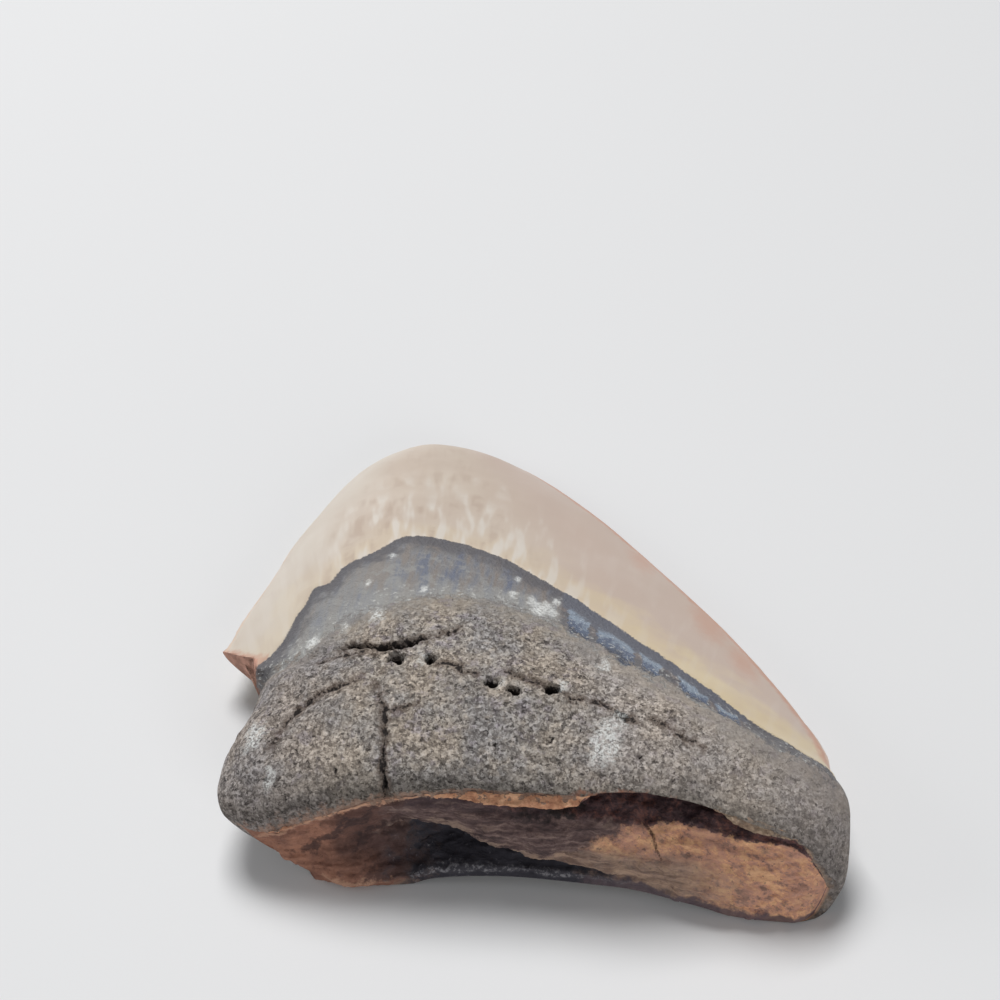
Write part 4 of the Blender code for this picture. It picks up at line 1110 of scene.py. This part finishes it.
def slab_look(n, surface, layers, past_slab):
    """Orange slab: coarse mottles of orange, pink and grey, layered towards its lower left, with painted
    shade along its foot.
    """
    tilted = n.stretched(n.turned(surface.object, SLAB_TILT), FACET_STRETCH)
    facets = n.noise(tilted, 1.5, 5.0, 0.74)
    patches = surface.noise(5.0, 4.0, 0.65)
    colour = n.ramp(
        facets, (0.40, SLAB_GREY), (0.455, SLAB_PINK), (0.51, SLAB_ORANGE), (0.58, SLAB_YELLOW)
    )
    colour = n.over(colour, SLAB_PINK, patches, 0.52, 0.42, 0.55)
    colour = n.over(colour, SLAB_YELLOW, patches, 0.54, 0.62, 0.45)
    colour = n.over(colour, LINE_DARK, surface.noise(0.8, 2.0, 0.6), 0.36, 0.30, 0.60)
    lined = n.times(n.spread(surface.across, 0.80, 0.45), n.spread(past_slab, 2.5, 5.5), 0.85)
    lines = n.ramp(layers, (0.36, LINE_DARK), (0.50, LINE_GREY), (0.62, LINE_PALE))
    colour = n.mix(lined, colour, lines)
    # Painted shade where the slab's lower edge turns under towards the floor.
    colour = n.over(colour, FOOT_SHADE, surface.torn(surface.along, 0.03), -0.85, -0.90, 0.85)
    slit = n.torn(n.mark("slit"), surface.sand, 0.10)
    return n.over(colour, SLIT, slit, 0.25, -0.05, 0.85)


def shelf_look(n, surface, layers, past_shelf, past_ledge):
    """Shelf: purple-brown layers, with painted shade under the ledge and a painted highlight along its
    lower edge.
    """
    colour = n.ramp(layers, (0.34, SHELF_DARK), (0.50, SHELF_MIDDLE), (0.62, SHELF_PALE))
    # Painted shade under the overhanging ledge.
    under = n.times(n.spread(past_ledge, 3.5, 0.8), n.spread(surface.across, 0.30, 0.10, 0.3, 1.0))
    colour = n.mix(n.times(under, 0.75), colour, RECESS_SHADE)
    # Painted highlight where the shelf's lower edge catches the light.
    edge_highlight = n.times(n.spread(past_shelf, -1.5, -0.5), n.spread(layers, 0.42, 0.52), 0.55)
    return n.mix(edge_highlight, colour, LINE_PALE)


def lobe_shade(n, wide):
    """Dark purple-brown of the left lobe's shaded side."""
    return n.ramp(wide, (0.38, LOBE_DARK), (0.62, LOBE_PURPLE))


def lobe_look(n, surface, wide):
    """Left lobe: rust-brown, darker to the middle, crossed by a dark band."""
    colour = n.ramp(wide, (0.38, LOBE_BROWN), (0.62, LOBE_RUST))
    middle = n.times(n.spread(surface.across, -0.76, -0.62), n.spread(surface.along, -0.86, -0.62))
    colour = n.mix(n.times(middle, 0.80), colour, lobe_shade(n, wide))
    stain = n.torn(surface.torn(n.mark("stain"), 0.9), wide, 1.2)
    return n.over(colour, LOBE_DARK, stain, 0.6, -0.6, 0.75)


def ledge_look(n, surface, depth):
    """Ledge under the lip: orange, and tan on the right."""
    orange = n.ramp(depth, (0.40, LEDGE_BROWN), (0.50, LEDGE_ORANGE), (0.60, LEDGE_PALE))
    tan = n.ramp(depth, (0.40, LIP_BROWN), (0.50, LIP_TAN), (0.60, LIP_PALE))
    return n.mix(n.spread(surface.across, 0.30, 0.50), orange, tan)


def hollow_look(n, surface, grains):
    """Black hollow, partly its own dark colour and partly painted shade, dusted with grey grains along its
    floor.
    """
    floor = n.between(surface.along, -0.96, -0.93, -0.90, -0.87)
    on_floor = n.times(floor, n.spread(grains, 0.48, 0.60, 0.1, 1.0))
    dust = n.math("ADD", n.spread(grains, 0.60, 0.78), on_floor)
    return n.mix(dust, HOLLOW_BLACK_AND_SHADE, HOLLOW_DUST)


def with_grains(n, colour, grains, share):
    """The colour with pale and dark grains, up to that share."""
    pale = n.mix(1.0, colour, GRAIN_PALE, "MULTIPLY")
    colour = n.mix(n.times(share, n.spread(grains, 0.56, 0.70, 0.0, 0.60)), colour, pale)
    return n.mix(n.times(share, n.spread(grains, 0.42, 0.30, 0.0, 0.45)), colour, GRAIN_DARK)


def core_look(n, surface):
    """Broken base: orange slab and ledge, purple-brown layers, painted shade in the recess, and a black
    hollow that is partly painted shade.
    """
    along = surface.along
    wide = surface.noise(4.0, 5.0, 0.68)
    grains = surface.noise(0.9, 4.0, 0.72)
    layers = n.noise(n.stretched(surface.object, LAYER_STRETCH), 0.95, 5.0, 0.70, 0.6)
    depth = n.blend(0.45, wide, grains)
    across = n.torn(surface.across, wide, 0.10)
    past_slab = surface.torn(n.mark("past_slab"), 0.30, 0.12)
    past_shelf = surface.torn(n.mark("past_shelf"), 0.45)
    past_ledge = surface.torn(n.mark("past_ledge"), 0.75, 0.30)
    colour = shelf_look(n, surface, layers, past_shelf, past_ledge)
    # Slab on the right, lobe on the left, and the lobe's shaded side next to the hollow.
    start = n.math("SUBTRACT", across, n.times(along, SLAB_SLANT))
    slab = n.times(n.spread(start, SLAB_START, SLAB_START + 0.12), n.spread(past_slab, -0.1, 0.25))
    colour = n.mix(slab, colour, slab_look(n, surface, layers, past_slab))
    colour = n.over(colour, lobe_look(n, surface, wide), across, -0.42, -0.56)
    beside = n.times(n.between(across, -0.64, -0.54, -0.44, -0.36), 0.85)
    beside = n.times(beside, n.between(along, -0.95, -0.89, -0.66, -0.52))
    colour = n.mix(beside, colour, lobe_shade(n, wide))
    # Painted shade in the recess above the slab, the hollow below the shelf, painted shade in the crevice,
    # and the ledge under the lip.
    recess = n.times(n.spread(past_slab, 0.2, -0.2), n.spread(past_ledge, 0.0, 0.3))
    recess = n.times(recess, n.spread(surface.torn(surface.across, 0.05), -0.24, -0.12))
    # Painted shade under the overhanging lip, mottled purple and red.
    recess_shade = n.ramp(depth, (0.42, RECESS_SHADE), (0.50, RECESS_PURPLE), (0.58, RECESS_RED))
    colour = n.mix(recess, colour, recess_shade)
    hollow = n.times(n.spread(past_shelf, 0.0, 0.8), n.between(across, -0.52, -0.36, 0.14, 0.34))
    # The hollow's black is partly painted shade.
    colour = n.mix(hollow, colour, hollow_look(n, surface, grains))
    # Painted shade in the narrow gap just below the ledge.
    crevice = n.times(n.spread(past_ledge, 2.9, 1.9), n.between(across, -0.10, 0.02, 0.16, 0.24))
    colour = n.mix(n.times(crevice, 0.90), colour, CAVITY_SHADE)
    colour = n.over(colour, ledge_look(n, surface, depth), past_ledge, 0.15, -0.10)
    # Chip, seams, and grains over all of it, weaker on the slab.
    chip = n.between(n.mark("from_chip"), -3.0, -1.5, 1.0, 2.0)
    colour = n.mix(n.times(chip, n.spread(wide, 0.40, 0.60, 0.45, 0.85)), colour, CHIP_TAN)
    colour = n.over(colour, SEAM, surface.torn(n.mark("seam"), 0.5, 0.25), 0.35, -0.45, 0.80)
    colour = with_grains(n, colour, grains, n.blend(slab, 1.0, 0.45))
    return colour, CORE_ROUGHNESS, n.math("ADD", n.times(grains, 0.6), n.times(layers, 0.5))


def with_openings(n, surface, colour):
    """The colour with brown-rimmed cracks and pores, painted dark inside as shade."""
    crack = surface.torn(n.mark("crack"), 0.42, 0.22)
    pore = surface.torn(n.mark("pore"), 0.15, 0.15)
    colour = n.over(colour, CRACK_BROWN, crack, 1.1, 0.0, 0.60)
    opening = n.math("MAXIMUM", n.spread(crack, 0.14, -0.10), n.spread(pore, 0.22, 0.0))
    # Painted shade inside cracks and pores.
    return n.mix(n.times(opening, 0.95), colour, CAVITY_SHADE)


def salt_mask(n, surface, crust):
    """White specks: ragged and grainy on the crust, softer and denser on the bourrelet."""
    spots = n.mark("salt")
    ragged = n.spread(surface.torn(spots, 0.8, 0.8), 0.3, -0.5)
    soft = n.spread(surface.torn(spots, 0.45, 0.25), 0.45, -0.45)
    grainy = n.spread(surface.sand, 0.40, 0.60, 0.10, 0.85)
    dense = n.spread(surface.sand, 0.34, 0.56, 0.20, 0.80)
    return n.blend(crust, n.times(soft, dense), n.times(ragged, grainy))


def fossil_material():
    """One material for the tooth: four looks, mixed by the marks on its mesh."""
    n = Nodes("fossil_tooth")
    surface = Surface(n)
    lip = surface.torn(surface.along, 0.070, 0.030)
    broken = n.math("MAXIMUM", n.spread(lip, -0.004, -0.020), n.spread(surface.along, 0.04, 0.08))
    enamel = n.spread(surface.past_enamel, -0.12, 0.12)
    crust = n.spread(surface.torn(surface.past_crust, 1.6, 0.8), 1.4, -1.0)
    core = n.times(n.mark("core"), broken)
    colour, roughness, height = band_look(n, surface)
    for mask, look in ((enamel, enamel_look), (crust, crust_look), (core, core_look)):
        next_colour, next_roughness, next_height = look(n, surface)
        colour = n.mix(mask, colour, next_colour)
        roughness = n.blend(mask, roughness, next_roughness)
        height = n.blend(mask, height, next_height)
    colour = with_openings(n, surface, colour)
    colour = n.mix(salt_mask(n, surface, crust), colour, SALT)
    bump = n.add("ShaderNodeBump", Height=height, Strength=BUMP_STRENGTH, Distance=BUMP_DISTANCE * MM)
    n.join(colour, n.shader.inputs["Base Color"])
    n.join(roughness, n.shader.inputs["Roughness"])
    n.join(bump.outputs["Normal"], n.shader.inputs["Normal"])
    n.shader.inputs["Specular IOR Level"].default_value = SPECULAR
    return n.material


def floor_material():
    """Plain pale studio paper."""
    n = Nodes("studio_floor")
    place = n.add("ShaderNodeTexCoord").outputs["Object"]
    n.join(n.mix(n.noise(place, 300.0, 2.0, 0.5), *PAPER), n.shader.inputs["Base Color"])
    n.shader.inputs["Roughness"].default_value = PAPER_ROUGHNESS
    return n.material


# ---------------------------------------------------------------- studio

FLOOR_SIZE = 6.0
LIGHTS = (  # (name, place, width and height, power in watts)
    ("soft_box", (-0.85, 1.9, 3.55), (1.8, 1.5), 143.0),
    ("left_card", (-1.1, 0.0, 0.4), (0.6, 0.6), 2.2),
    ("front_card", (0.6, -1.0, 0.35), (0.6, 0.6), 3.9),
)
SKY_COLOUR, SKY_STRENGTH = (0.95, 0.97, 1.0, 1.0), 0.16


def add_item(name, data):
    """An object in the scene that holds these data."""
    item = bpy.data.objects.new(name, data)
    bpy.context.scene.collection.objects.link(item)
    return item


def add_floor():
    """Floor of the studio."""
    mesh = bpy.data.meshes.new("floor")
    half = FLOOR_SIZE / 2
    corners = [(-half, -half, 0), (half, -half, 0), (half, half, 0), (-half, half, 0)]
    mesh.from_pydata(corners, [], [(0, 1, 2, 3)])
    mesh.materials.append(floor_material())
    add_item("floor", mesh)


def add_lights():
    """A soft box behind, two weak cards in front, and a dim sky."""
    for name, place, size, power in LIGHTS:
        light = bpy.data.lights.new(name, "AREA")
        light.shape = "RECTANGLE"
        light.size, light.size_y = size
        light.energy = power
        lamp = add_item(name, light)
        lamp.location = place
        lamp.rotation_euler = (-Vector(place)).to_track_quat("-Z", "Y").to_euler()
    world = bpy.data.worlds.new("studio")
    world.use_nodes = True
    background = world.node_tree.nodes["Background"]
    background.inputs["Color"].default_value = SKY_COLOUR
    background.inputs["Strength"].default_value = SKY_STRENGTH
    bpy.context.scene.world = world


def add_camera(offset):
    """The camera, at the photo's angle."""
    camera = bpy.data.cameras.new("camera")
    camera.lens = CAMERA_LENS
    camera.sensor_width = CAMERA_SENSOR
    camera.clip_start = CAMERA_CLIP
    item = add_item("camera", camera)
    item.location = Vector(CAMERA_PLACE) * MM + Vector(offset)
    item.rotation_euler = (CAMERA_PITCH, 0.0, CAMERA_HEADING)
    bpy.context.scene.camera = item


def main():
    """The dressed tooth and its studio."""
    offset = drawing_offset()
    tooth = tooth_piece(offset)
    tooth.data.materials.append(fossil_material())
    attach(tooth, "root")
    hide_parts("tooth")
    add_floor()
    add_lights()
    add_camera(offset)
    bpy.context.scene.view_settings.view_transform = "Standard"


main()
